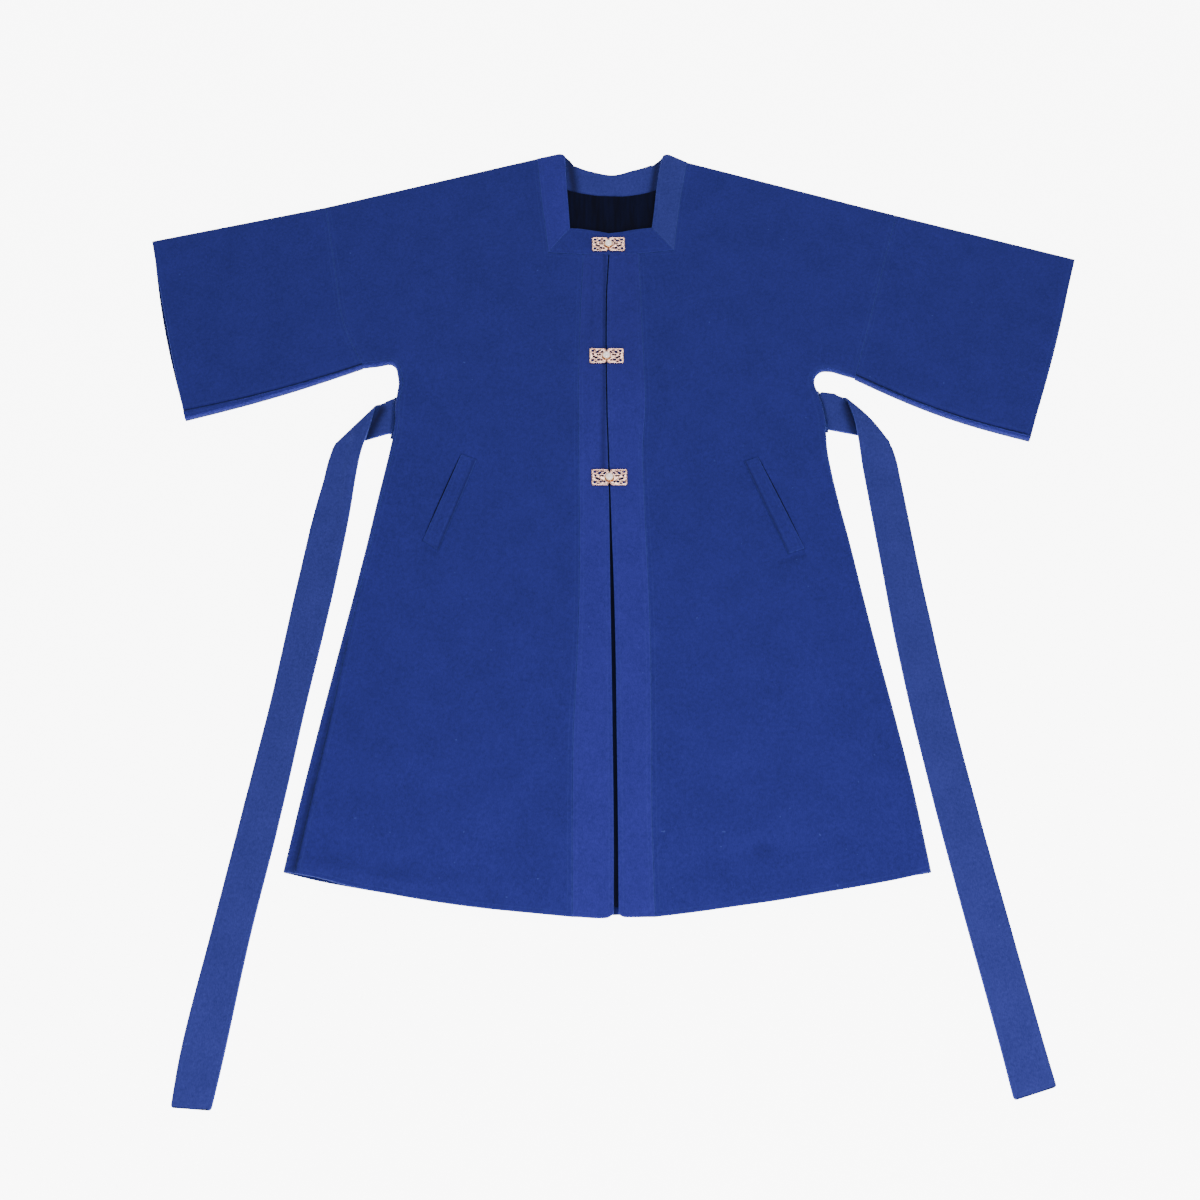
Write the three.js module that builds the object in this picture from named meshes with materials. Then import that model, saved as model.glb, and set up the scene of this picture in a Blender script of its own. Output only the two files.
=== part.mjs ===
// A long wool jacket with a square collar, laid flat on its back with its belt beneath it.
// Millimetres. +X is the wearer's left, +Y points to the neck and +Z is up. The origin is on
// the surface that the jacket lies on, under the middle of the whole.

import * as THREE from 'three';
import { mergeVertices } from 'three/addons/utils/BufferGeometryUtils.js';

// Cloth thicknesses and levels. A level is the height of the middle of a wall.
const WALL = 2.5;
const BAND_WALL = 3.0;
const LINING_WALL = 0.8;
const BELT_WALL = 3.0;
const WELT_WALL = 2.0;
const LOOP_WALL = 1.2;
const SEAM_GAP = 0.3;
const SAME_POINT = 0.001;
const BACK_LEVEL = WALL / 2;
const FRONT_LEVEL = 7.7;
const BAND_LEVEL = FRONT_LEVEL + (BAND_WALL - WALL) / 2;
const LINING_LEVEL = 3.6;
const BELT_LEVEL = BELT_WALL / 2;

// A folded edge is a half turn of this radius, then a flat flange up to its seam. The roll
// starts EDGE inside the outline.
const ROLL = (FRONT_LEVEL - BACK_LEVEL) / 2;
const EDGE = ROLL + WALL / 2;
const ROLL_STEPS = 4;
const FLANGE = 1.2;

// A gap is measured square to its seam, so a shift along X across a slanted seam is longer.
const SLANT = 1.05;

// The layers rise over the belt, which passes straight under the back.
const BELT_WIDTH = 44;
const BELT_RIGHT = { x: -275, y: 197.5 };
const BELT_LEFT = { x: 262, y: 207 };
const RISE_FLAT = 32;
const RISE_END = 112;
const BACK_RISE = 3.35;
const LINING_RISE = 2.95;
const FRONT_RISE = 0.85;

// Armhole seams from the shoulder down, columns x, y, and how many steps they are cut into.
const ARMHOLE = {
  right: [[-394, 532], [-372, 422], [-355, 343], [-326, 279]],
  left: [[391, 520], [364, 427], [340, 343], [316, 268]],
};
const ARMHOLE_STEPS = 6;

// Outlines from underarm to hem, columns x, y and strip: how far past its rolled edge the
// back reaches on top of the front before it meets the side seam.
const OUTLINE = {
  right: [
    [-324.8, 274.7, FLANGE], [-305, 277.5, FLANGE], [-288, 280, FLANGE], [-279.5, 275.5, FLANGE],
    [-275.5, 264, FLANGE], [-274.5, 250, FLANGE], [-274, 236, FLANGE], [-276, 216, FLANGE],
    [-278, 196, FLANGE], [-278.5, 176, FLANGE], [-282, 151, FLANGE], [-286, 122, FLANGE],
    [-291, 85, FLANGE], [-299, 25, FLANGE], [-309, -38, FLANGE], [-321, -110, 1.6],
    [-335, -195, 4.5], [-349, -285, 8], [-362, -378, 9],
  ],
  left: [
    [314.7, 263.7, FLANGE], [298, 268, FLANGE], [285, 271, FLANGE], [274, 268, FLANGE],
    [266.5, 260, FLANGE], [263, 249, FLANGE], [264.5, 236, FLANGE], [270, 216, FLANGE],
    [272.5, 196, FLANGE], [272, 176, FLANGE], [272, 151, FLANGE], [275, 122, FLANGE],
    [279, 85, FLANGE], [288, 25, FLANGE], [297, -38, FLANGE], [308, -110, FLANGE],
    [321, -190, FLANGE], [335, -285, FLANGE], [346, -379, FLANGE],
  ],
};

// Rows of the outline that belong to the underarm's curve. Between the underarms the back's
// rows bow up by these amounts, from the armhole's middle row on, so that they stay in order.
const UNDERARM_ROWS = 5;
const UNDERARM_BOW = [0, 0, 0, 0, 3, 14, 35, 20, 7];

// The centre front, from the collar's lower edge to the hem: the slit's middle, half its
// width and the two band seams.
const CENTRE_FRONT = [
  { y: 456, slit: -4, half: 0.3, right: -38.5, left: 36.5 },
  { y: 425, slit: -5.6, half: 0.3, right: -39.7, left: 37.3 },
  { y: 395, slit: -7.2, half: 0.3, right: -41, left: 38.2 },
  { y: 365, slit: -7.6, half: 0.3, right: -42, left: 39 },
  { y: 335, slit: -8, half: 0.3, right: -42.5, left: 39.7 },
  { y: 305, slit: -8, half: 0.3, right: -43.2, left: 40.5 },
  { y: 278, slit: -8, half: 0.3, right: -43.6, left: 41 },
  { y: 252, slit: -7.7, half: 0.3, right: -43.8, left: 42 },
  { y: 226, slit: -7.3, half: 0.3, right: -43.7, left: 42.5 },
  { y: 200, slit: -7, half: 0.3, right: -43, left: 41.5 },
  { y: 174, slit: -6.2, half: 0.3, right: -42.9, left: 39.5 },
  { y: 146, slit: -5.4, half: 0.4, right: -42.7, left: 38 },
  { y: 105, slit: -4.3, half: 0.6, right: -42, left: 38.5 },
  { y: 40, slit: -3, half: 1.3, right: -41.2, left: 40 },
  { y: -40, slit: -1.4, half: 2.1, right: -41, left: 42.5 },
  { y: -130, slit: 0, half: 2.4, right: -43, left: 43.5 },
  { y: -220, slit: 0.8, half: 2.4, right: -46.5, left: 43 },
  { y: -320, slit: 1.8, half: 2.4, right: -47, left: 42 },
  { y: -431, slit: 2, half: 3.4, right: -46, left: 44 },
];

// Collar bands, columns x, y. The outer and inner edges run from the shoulder to the mitre,
// the top and base of the front bands from the mitre to the centre.
const COLLAR = {
  right: {
    outer: [[-104, 617], [-99.5, 575], [-96, 540], [-92.5, 515], [-89, 485], [-86, 459]],
    inner: [[-65.5, 626], [-63.5, 595], [-62, 570], [-60, 545], [-58.5, 522], [-57, 500]],
    top: [[-57, 500], [-42, 499], [-28, 496.5], [-16, 494], [-4, 491.5]],
    base: [[-86, 459], [-62, 457.5], [-38.5, 456], [-21, 455.7], [-4, 455.5]],
  },
  left: {
    outer: [[106, 612], [102, 590], [97, 560], [92, 525], [88, 492], [84.5, 463]],
    inner: [[74, 627], [68.5, 610], [64.5, 585], [61.5, 560], [58.5, 530], [55, 501]],
    top: [[55, 501], [43, 499.5], [30, 497.5], [12, 493.5], [-4, 491.5]],
    base: [[84.5, 463], [60, 460], [36.5, 457], [16, 456], [-4, 455.5]],
  },
};

// The band behind the neck, from the wearer's right to left, columns x, y. It stands up a
// little from its seam to its free edge, by rise.
const NECK = {
  sewn: [[-104, 615.3], [-83, 589], [-63, 570], [-33, 561], [2, 557.5], [33, 560], [62, 568],
    [84, 588], [106, 610.2]],
  free: [[-65.5, 624.2], [-56, 612], [-43, 602.5], [-22, 595], [2, 591.5], [28, 599.5],
    [54, 607.5], [66, 616], [74, 625.2]],
  rise: [0, 0.8, 3.5, 5, 5.5, 5, 3.5, 0.8, 0],
};

// Sleeves: corners of the cuff on the outline, how far the cuff bows out on each layer, how
// far the lower edge sags, and how far the back wraps on top at the cuff.
const SLEEVE = {
  right: { top: [-625, 479], low: [-543, 196], bow: [4, 8.5], sag: 4, strip: 11 },
  left: { top: [625, 447], low: [529, 167], bow: [1.5, 4], sag: 8, strip: 7 },
};
const SLEEVE_STEPS = 9;
const SLEEVE_STRIP_START = 1;

// Hems from the wearer's right side to the left, columns x, y, between the sides and bands.
const HEM = {
  right: [[-321, -394], [-289, -403], [-257, -410], [-197, -420], [-137, -426], [-90, -429.5]],
  left: [[90, -427.5], [134, -422.5], [180, -415], [224, -407], [268, -398.5], [310, -390]],
  back: [[-335, -396], [-300, -405.5], [-257, -415], [-210, -422], [-160, -426], [-120, -428.5],
    [-80, -430], [-40, -430.8], [0, -430.5], [40, -429.5], [80, -427], [120, -423], [160, -417.5],
    [200, -411], [240, -402.5], [280, -394.5], [315, -388]],
};

// The back's lining: its hem narrows to a part of its neck and stops short of the back's, with
// a pleat down the centre.
const LINING = { taper: 0.8, short: 8, steps: 44, pleat: 0.7, pleatWidth: 14 };

// Steps across a band, along a shoulder of the back, and along and across a welt.
const BAND_STEPS = 3;
const SHOULDER_STEPS = 5;
const WELT_STEPS = { along: 6, across: 2 };

// Soft folds pressed into the fronts: from and to in x and y, half width and height.
const FOLDS = [
  { from: [82, -384], to: [164, -358], width: 13, height: -1.3 },
  { from: [164, -358], to: [254, -349], width: 13, height: -1.3 },
  { from: [254, -349], to: [300, -351], width: 12, height: -0.8 },
  { from: [288, -170], to: [292, -241], width: 12, height: 1.3 },
  { from: [-250, -372], to: [-140, -388], width: 13, height: -0.7 },
  { from: [-262, 215], to: [-225, 120], width: 14, height: -0.8 },
  { from: [255, 215], to: [228, 130], width: 14, height: -0.8 },
];

// Pocket welts, corners from the top outer one round, columns x, y.
const WELT = {
  right: [[-191, 143], [-171, 135], [-213, 8], [-233, 22]],
  left: [[183, 139], [165, 132], [213, 4], [234, 11]],
};

// The belt, from the end on the wearer's right to the other: its two edges and its level.
// It is folded down over its own stub just outside each side.
const BELT_FOLD_RADIUS = 2.0;
const BELT_TOP_LEVEL = BELT_LEVEL + 2 * BELT_FOLD_RADIUS;
const BELT_HANG = {
  right: [
    { low: [-457.5, -627], high: [-415, -631], z: BELT_LEVEL },
    { low: [-454, -581], high: [-409, -583], z: BELT_LEVEL },
    { low: [-438, -458], high: [-394, -464], z: BELT_LEVEL },
    { low: [-419, -326], high: [-375, -333], z: BELT_LEVEL },
    { low: [-398, -184], high: [-355, -192], z: BELT_LEVEL },
    { low: [-379, -20], high: [-335, -27], z: BELT_LEVEL },
    { low: [-365, 93], high: [-322, 88], z: BELT_LEVEL + 0.3 },
    { low: [-358, 130], high: [-316.5, 137], z: BELT_LEVEL + 2.4 },
    { low: [-353.5, 150], high: [-311, 168], z: BELT_TOP_LEVEL },
    { low: [-350, 158], high: [-306, 192], z: BELT_TOP_LEVEL },
  ],
  left: [
    { low: [352, 151], high: [307, 200], z: BELT_TOP_LEVEL },
    { low: [355.5, 139], high: [310.5, 173], z: BELT_TOP_LEVEL },
    { low: [357.5, 120], high: [313, 144], z: BELT_LEVEL + 2.4 },
    { low: [361.5, 93], high: [317.5, 96], z: BELT_LEVEL + 0.3 },
    { low: [371, -10], high: [327, -5], z: BELT_LEVEL },
    { low: [386, -184], high: [342, -177], z: BELT_LEVEL },
    { low: [407, -326], high: [363, -319], z: BELT_LEVEL },
    { low: [429, -458], high: [385, -450], z: BELT_LEVEL },
    { low: [449, -581], high: [405, -574], z: BELT_LEVEL },
    { low: [455, -612], high: [411, -621], z: BELT_LEVEL },
  ],
};
const BELT_FOLD = {
  right: { low: [-348, 165], high: [-301, 217] },
  left: { low: [345, 174], high: [299, 228] },
};
const BELT_STUB = {
  right: [{ low: [-318, 169], high: [-291, 217] }, { low: [-291, 173.5], high: [-284, 219.5] }],
  left: [{ low: [280, 182], high: [272, 230.5] }, { low: [313, 177], high: [285, 229] }],
};
const BELT_HIDDEN_STEPS = 4;

// Belt loops: a narrow strip at each side seam, over the stub, columns along, height.
const LOOP_WIDTH = 5;
const LOOP_PATH = [[-41, 2.4], [-33, 2.8], [-25, 4.2], [0, 4.6], [25, 4.2], [33, 2.8], [41, 2.4]];
const LOOP_CLEAR = 0.4;

// Clasps: pierced plates in two halves with a pearl over the joint.
const PLATE = { length: 45, height: 23.5, wall: 1.4, notch: 3.2, joint: 0.2, corner: 0.8 };
const CLASP_CLEAR = 0.3;
const CLASPS = { top: [-4.5, 473.5], middle: [-7.5, 293], bottom: [-4.2, 111.5] };
const PEARL = {
  radius: 4.8, bezel: 5.9, bezelHeight: 1.5, lip: 0.5, dome: 4.2, sides: 14, arcs: 5,
};

// Holes pierced in each half plate, as fractions of the half's length and of its height.
const HOLES = [
  { x: 0.84, y: 0.78, length: 2.4, width: 1.9, turn: 20 },
  { x: 0.84, y: 0.22, length: 2.4, width: 1.9, turn: -20 },
  { x: 0.58, y: 0.72, length: 3.4, width: 1.6, turn: 35 },
  { x: 0.66, y: 0.36, length: 4.4, width: 1.2, turn: -32 },
  { x: 0.34, y: 0.2, length: 2.4, width: 1.4, turn: 10 },
];
const HOLE_SIDES = 8;

const COLOURS = { wool: 0x223a80, lining: 0x0b1025, metal: 0xd3b0a4, pearl: 0xe9e3e4 };

const finishes = {
  wool: new THREE.MeshStandardMaterial({ color: COLOURS.wool, roughness: 0.95, metalness: 0 }),
  lining: new THREE.MeshStandardMaterial({ color: COLOURS.lining, roughness: 0.5, metalness: 0 }),
  metal: new THREE.MeshStandardMaterial({ color: COLOURS.metal, roughness: 0.35, metalness: 1 }),
  pearl: new THREE.MeshStandardMaterial({ color: COLOURS.pearl, roughness: 0.2, metalness: 0 }),
};

const flat = (pair) => new THREE.Vector2(pair[0], pair[1]);
const between = (a, b, t) => new THREE.Vector2().lerpVectors(a, b, t);
const moved = (p, x, y) => new THREE.Vector2(p.x + x, p.y + y);
const sign = (side) => (side === 'right' ? -1 : 1);

// 1 over the belt, easing to 0 at RISE_END from its middle line.
function overBelt(x, y) {
  const along = (x - BELT_RIGHT.x) / (BELT_LEFT.x - BELT_RIGHT.x);
  const line = THREE.MathUtils.lerp(BELT_RIGHT.y, BELT_LEFT.y, along);
  return 1 - THREE.MathUtils.smoothstep(Math.abs(y - line), RISE_FLAT, RISE_END);
}

// Height of the soft folds at a point: each is a bell across its line.
function foldHeight(x, y) {
  let height = 0;
  for (const fold of FOLDS) {
    const line = new THREE.Line3(
      new THREE.Vector3(...fold.from, 0),
      new THREE.Vector3(...fold.to, 0),
    );
    const point = new THREE.Vector3(x, y, 0);
    const near = line.closestPointToPoint(point, true, new THREE.Vector3());
    height += fold.height * Math.exp(-((point.distanceTo(near) / fold.width) ** 2));
  }
  return height;
}

const backZ = (x, y) => BACK_LEVEL + BACK_RISE * overBelt(x, y);
const liningZ = (x, y) => LINING_LEVEL + LINING_RISE * overBelt(x, y);
const frontZ = (x, y) => FRONT_LEVEL + FRONT_RISE * overBelt(x, y) + foldHeight(x, y);
const bandZ = (x, y) => BAND_LEVEL + FRONT_RISE * overBelt(x, y);

// Unit inward normals of an outline that runs down, on the given side.
function inwardNormals(points, side) {
  return points.map((point, i) => {
    const before = points[Math.max(i - 1, 0)];
    const after = points[Math.min(i + 1, points.length - 1)];
    const along = after.clone().sub(before).normalize();
    return side === 'right'
      ? new THREE.Vector2(-along.y, along.x)
      : new THREE.Vector2(along.y, -along.x);
  });
}

// A flat patch between four border lines, all worked out from their points by a blend.
function patch(left, right, top, bottom) {
  const rows = left.length - 1;
  const columns = top.length - 1;
  return left.map((leftPoint, i) => {
    const v = i / rows;
    return top.map((topPoint, j) => {
      const u = j / columns;
      const across = between(leftPoint, right[i], u);
      const down = between(topPoint, bottom[j], v);
      const corners = between(
        between(left[0], right[0], u),
        between(left[rows], right[rows], u),
        v,
      );
      return across.add(down).sub(corners);
    });
  });
}

// Evenly spaced points from a to b, both included.
function straight(a, b, steps) {
  return Array.from({ length: steps + 1 }, (_, i) => between(a, b, i / steps));
}

// Points spaced evenly along a bent line, both ends included.
function spaced(points, steps) {
  const lengths = [0];
  for (let i = 1; i < points.length; i += 1) {
    lengths.push(lengths[i - 1] + points[i].distanceTo(points[i - 1]));
  }
  const total = lengths[lengths.length - 1];
  return Array.from({ length: steps + 1 }, (_, i) => {
    const target = (total * i) / steps;
    const k = Math.max(1, lengths.findIndex((value) => value >= target - 1e-9));
    const t = (target - lengths[k - 1]) / (lengths[k] - lengths[k - 1]);
    return between(points[k - 1], points[k], t);
  });
}

// Lifts a flat grid to the height that a level function gives.
function lifted(grid, level) {
  return grid.map((row) => row.map((p) => new THREE.Vector3(p.x, p.y, level(p.x, p.y))));
}

// A half turn from a line at one level to the same line at another, bulging outward.
function rolled(line, outward, fromLevel, toLevel) {
  return Array.from({ length: ROLL_STEPS + 1 }, (_, k) => {
    const angle = (Math.PI * k) / ROLL_STEPS;
    return line.map((p, i) => {
      const from = fromLevel(p.x, p.y);
      const to = toLevel(p.x, p.y);
      const reach = ROLL * Math.sin(angle);
      return new THREE.Vector3(
        p.x + outward[i].x * reach,
        p.y + outward[i].y * reach,
        (from + to) / 2 + ((from - to) / 2) * Math.cos(angle),
      );
    });
  });
}

// The same half turn with its flange, whose width is given at each point.
function flanged(line, outward, fromLevel, toLevel, widths) {
  const turn = rolled(line, outward, fromLevel, toLevel);
  const end = line.map((p, i) => {
    const at = p.clone().addScaledVector(outward[i], -widths[i]);
    return new THREE.Vector3(at.x, at.y, toLevel(at.x, at.y));
  });
  return [...turn, end];
}

// Turns a position list and faces into a geometry whose faces point out.
function closed(positions, triangles) {
  let volume = 0;
  const corner = (k) => new THREE.Vector3().fromArray(positions, 3 * k);
  for (let i = 0; i < triangles.length; i += 3) {
    const [a, b, c] = [corner(triangles[i]), corner(triangles[i + 1]), corner(triangles[i + 2])];
    volume += a.dot(b.cross(c));
  }
  const facing = volume < 0 ? triangles.slice().reverse() : triangles;
  const geometry = new THREE.BufferGeometry();
  geometry.setAttribute('position', new THREE.Float32BufferAttribute(positions, 3));
  geometry.setIndex(facing);
  geometry.computeVertexNormals();
  return geometry;
}

// Closes a wall of cloth round one or more grids of middle points that share edges. Each
// point moves half the wall's thickness to both sides along the surface's normal.
function wall(grids, thickness) {
  const middle = [];
  const known = new Map();
  const directed = new Set();
  const quads = [];
  const idOf = (p) => {
    const key = [p.x, p.y, p.z].map((value) => Math.round(value / SAME_POINT)).join(' ');
    if (!known.has(key)) {
      known.set(key, middle.length);
      middle.push(p);
    }
    return known.get(key);
  };
  const edgesOf = (quad) => quad.map((id, i) => `${id}>${quad[(i + 1) % 4]}`);
  for (const grid of grids) {
    const ids = grid.map((row) => row.map(idOf));
    let own = [];
    for (let i = 0; i + 1 < ids.length; i += 1) {
      for (let j = 0; j + 1 < ids[i].length; j += 1) {
        own.push([ids[i][j], ids[i + 1][j], ids[i + 1][j + 1], ids[i][j + 1]]);
      }
    }
    if (own.some((quad) => edgesOf(quad).some((edge) => directed.has(edge)))) {
      own = own.map((quad) => quad.slice().reverse());
    }
    own.forEach((quad) => edgesOf(quad).forEach((edge) => directed.add(edge)));
    quads.push(...own);
  }
  const normals = middle.map(() => new THREE.Vector3());
  for (const quad of quads) {
    const [a, b, c, d] = quad.map((id) => middle[id]);
    const face = c.clone().sub(a).cross(d.clone().sub(b)).normalize();
    quad.forEach((id) => normals[id].add(face));
  }
  const positions = [];
  for (const half of [thickness / 2, -thickness / 2]) {
    middle.forEach((p, id) => {
      positions.push(...p.clone().addScaledVector(normals[id].normalize(), half).toArray());
    });
  }
  const below = middle.length;
  const triangles = [];
  for (const [a, b, c, d] of quads) {
    triangles.push(a, b, c, a, c, d);
    triangles.push(below + c, below + b, below + a, below + d, below + c, below + a);
  }
  for (const edge of directed) {
    const [a, b] = edge.split('>').map(Number);
    if (!directed.has(`${b}>${a}`)) {
      triangles.push(b, a, below + a, b, below + a, below + b);
    }
  }
  return closed(positions, triangles);
}

const group = new THREE.Group();

function add(name, geometry, finish) {
  const mesh = new THREE.Mesh(geometry, finishes[finish]);
  mesh.name = name;
  group.add(mesh);
  return mesh;
}

// Armhole points, shared by the sleeve and the body on both layers.
function armhole(side) {
  return new THREE.SplineCurve(ARMHOLE[side].map(flat)).getPoints(ARMHOLE_STEPS);
}

// Direction across the sleeve at the armhole, from its lower edge to its top edge.
function sleeveAcross(side) {
  const points = ARMHOLE[side].map(flat);
  return points[0].clone().sub(points[points.length - 1]).normalize();
}

// The outline below the armhole, with its inward normals. The first normal follows the
// sleeve, so that both rolled edges lie side by side.
function outline(side) {
  const points = OUTLINE[side].map(flat);
  const normals = inwardNormals(points, side);
  normals[0] = sleeveAcross(side);
  return { points, normals, strips: OUTLINE[side].map((row) => row[2]) };
}

function inset(side, extra) {
  const { points, normals } = outline(side);
  return points.map((p, i) => p.clone().addScaledVector(normals[i], EDGE + extra(i)));
}

// Where a shoulder's roll starts, from the armhole to the collar, and its outward normal.
function shoulder(side) {
  const start = armhole(side)[0];
  const end = flat(COLLAR[side].outer[0]);
  const along = end.clone().sub(start).normalize();
  const outward = new THREE.Vector2(-along.y, along.x);
  if (outward.y < 0) {
    outward.negate();
  }
  return { start, end, outward };
}

// Body points beside the armhole, moved a seam's gap away from the sleeve.
function bodyArmhole(side) {
  return armhole(side).map((p) => moved(p, -sign(side) * SEAM_GAP * SLANT, 0));
}

// One front, from the armhole and side to the collar and band, with its rolled edges.
function frontPanel(side) {
  const inward = -sign(side);
  const { strips, normals } = outline(side);
  const gapped = side === 'right';
  const sideLine = inset(side, (i) => (gapped ? strips[i] + SEAM_GAP : 0));
  const arm = bodyArmhole(side);
  const low = arm[ARMHOLE_STEPS];
  const lowEnd = moved(low, 0, gapped ? strips[0] + SEAM_GAP : 0);
  const outer = [...arm.slice(0, -1), lowEnd, ...sideLine.slice(1)];
  const collar = COLLAR[side].outer.map(flat).map((p) => moved(p, -inward * SEAM_GAP, 0));
  collar[collar.length - 1].y -= SEAM_GAP;
  const band = CENTRE_FRONT.map((row) => new THREE.Vector2(row[side] - inward * SEAM_GAP, row.y));
  band[0].y = flat(COLLAR[side].base[2]).y - SEAM_GAP;
  const inner = [...collar, ...band];
  const columns = HEM[side].length + 1;
  const top = straight(outer[0], inner[0], columns);
  const hem = HEM[side].map(flat);
  const fromSide = side === 'right' ? hem : hem.reverse();
  const bottom = [outer[outer.length - 1], ...fromSide, inner[inner.length - 1]];
  const grid = lifted(patch(outer, inner, top, bottom), frontZ);
  const { outward } = shoulder(side);
  const even = top.map(() => FLANGE);
  const grids = [grid, flanged(top, top.map(() => outward), frontZ, backZ, even)];
  if (!gapped) {
    const line = outer.slice(ARMHOLE_STEPS);
    grids.push(flanged(line, normals.map((n) => n.clone().negate()), frontZ, backZ, strips));
  }
  add(`front_${side}`, wall(grids, WALL), 'wool');
}

// The back, under the fronts. Its edge on the wearer's right rolls up and over to the side
// seam; on the left the front rolls under and meets it there.
function backPanel() {
  const drop = (FLANGE + SEAM_GAP) * SLANT;
  const rightLine = inset('right', () => 0);
  const leftLine = inset('left', () => FLANGE + SEAM_GAP);
  const armRight = bodyArmhole('right');
  const armLeft = bodyArmhole('left');
  const along = (points, from, to) => {
    const step = points[to].clone().sub(points[from]).normalize();
    return points[from].clone().addScaledVector(step, drop);
  };
  armRight[0] = along(armRight, 0, 1);
  armLeft[0] = along(armLeft, 0, 1);
  armLeft[ARMHOLE_STEPS] = along(armLeft, ARMHOLE_STEPS, ARMHOLE_STEPS - 1);
  const edgeRight = [...armRight, ...rightLine.slice(1)];
  const edgeLeft = [...armLeft, ...leftLine.slice(1)];
  const neck = NECK.sewn.map(flat).map((p) => moved(p, 0, -SEAM_GAP));
  const top = [
    ...straight(armRight[0], neck[0], SHOULDER_STEPS).slice(0, -1),
    ...neck,
    ...straight(neck[neck.length - 1], armLeft[0], SHOULDER_STEPS).slice(1),
  ];
  const hem = [edgeRight[edgeRight.length - 1], ...HEM.back.map(flat), edgeLeft[edgeLeft.length - 1]];
  const plan = patch(edgeRight, edgeLeft, top, spaced(hem, top.length - 1));
  UNDERARM_BOW.forEach((bow, i) => {
    plan[i].slice(1, -1).forEach((p) => p.setY(p.y + bow));
  });
  const grid = lifted(plan, backZ);
  const { normals, strips } = outline('right');
  const line = edgeRight.slice(ARMHOLE_STEPS);
  const outward = normals.map((n) => n.clone().negate());
  add('back_panel', wall([grid, flanged(line, outward, backZ, frontZ, strips)], WALL), 'wool');
}

// The lining of the back where the neck and the open front show it, with its centre pleat.
function backLining() {
  const top = NECK.sewn.slice(1, -1).map(flat).map((p) => moved(p, 0, -2 * SEAM_GAP));
  const last = top.length - 1;
  const hemY = Math.min(...HEM.back.map((row) => row[1])) + LINING.short;
  const hem = top.map((p) => new THREE.Vector2(p.x * LINING.taper, hemY));
  const grid = patch(
    straight(top[0], hem[0], LINING.steps),
    straight(top[last], hem[last], LINING.steps),
    top,
    hem,
  );
  const level = (x, y) => {
    const pleat = LINING.pleat * Math.exp(-((x / LINING.pleatWidth) ** 2));
    return liningZ(x, y) + pleat * (1 - overBelt(x, y));
  };
  add('lining_back', wall([lifted(grid, level)], LINING_WALL), 'lining');
}

// One sleeve, a flattened tube open at both ends. Its section runs from the underarm seam
// round the lower edge, along the back, over the top edge and back along the front.
function sleeve(side) {
  const form = SLEEVE[side];
  const arm = armhole(side);
  const armLow = arm[ARMHOLE_STEPS];
  const cuffAcross = flat(form.top).sub(flat(form.low)).normalize();
  const cuffTop = flat(form.top).addScaledVector(cuffAcross, -EDGE);
  const cuffLow = flat(form.low).addScaledVector(cuffAcross, EDGE);
  const out = new THREE.Vector2(sign(side), 0);
  const rings = Array.from({ length: SLEEVE_STEPS + 1 }, (_, k) => {
    const t = k / SLEEVE_STEPS;
    const across = sleeveAcross(side).lerp(cuffAcross, t).normalize();
    const sag = form.sag * Math.sin(Math.PI * t);
    const topEdge = between(arm[0], cuffTop, t);
    const lowEdge = between(armLow, cuffLow, t).addScaledVector(across, -sag);
    const width = topEdge.distanceTo(lowEdge);
    const strip = THREE.MathUtils.lerp(SLEEVE_STRIP_START, form.strip, t);
    const at = (q, level, layer) => {
      const whole = q * ARMHOLE_STEPS;
      const i = Math.min(Math.floor(whole), ARMHOLE_STEPS - 1);
      const seam = between(arm[i], arm[i + 1], whole - i);
      const chord = between(arm[0], armLow, q);
      const bow = form.bow[layer] * Math.sin(Math.PI * q) * t * t;
      const p = between(topEdge, lowEdge, q)
        .addScaledVector(seam.sub(chord), 1 - t)
        .addScaledVector(out, bow);
      return new THREE.Vector3(p.x, p.y, level);
    };
    const turn = (p, outward, from, to) => rolled([p], [outward], () => from, () => to)
      .map((row) => row[0])
      .slice(1, -1);
    const stations = Array.from({ length: ARMHOLE_STEPS + 1 }, (_, i) => i / ARMHOLE_STEPS);
    const frontEnd = 1 - (strip + SEAM_GAP) / width;
    return [
      at(1 - strip / width, FRONT_LEVEL, 0),
      at(1, FRONT_LEVEL, 0),
      ...turn(lowEdge, across.clone().negate(), FRONT_LEVEL, BACK_LEVEL),
      ...stations.slice().reverse().map((q) => at(q, BACK_LEVEL, 1)),
      ...turn(topEdge, across, BACK_LEVEL, FRONT_LEVEL),
      ...stations.slice(0, -1).map((q) => at(q, FRONT_LEVEL, 0)),
      at(frontEnd, FRONT_LEVEL, 0),
    ];
  });
  add(`sleeve_${side}`, wall([rings], WALL), 'wool');
}

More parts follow.
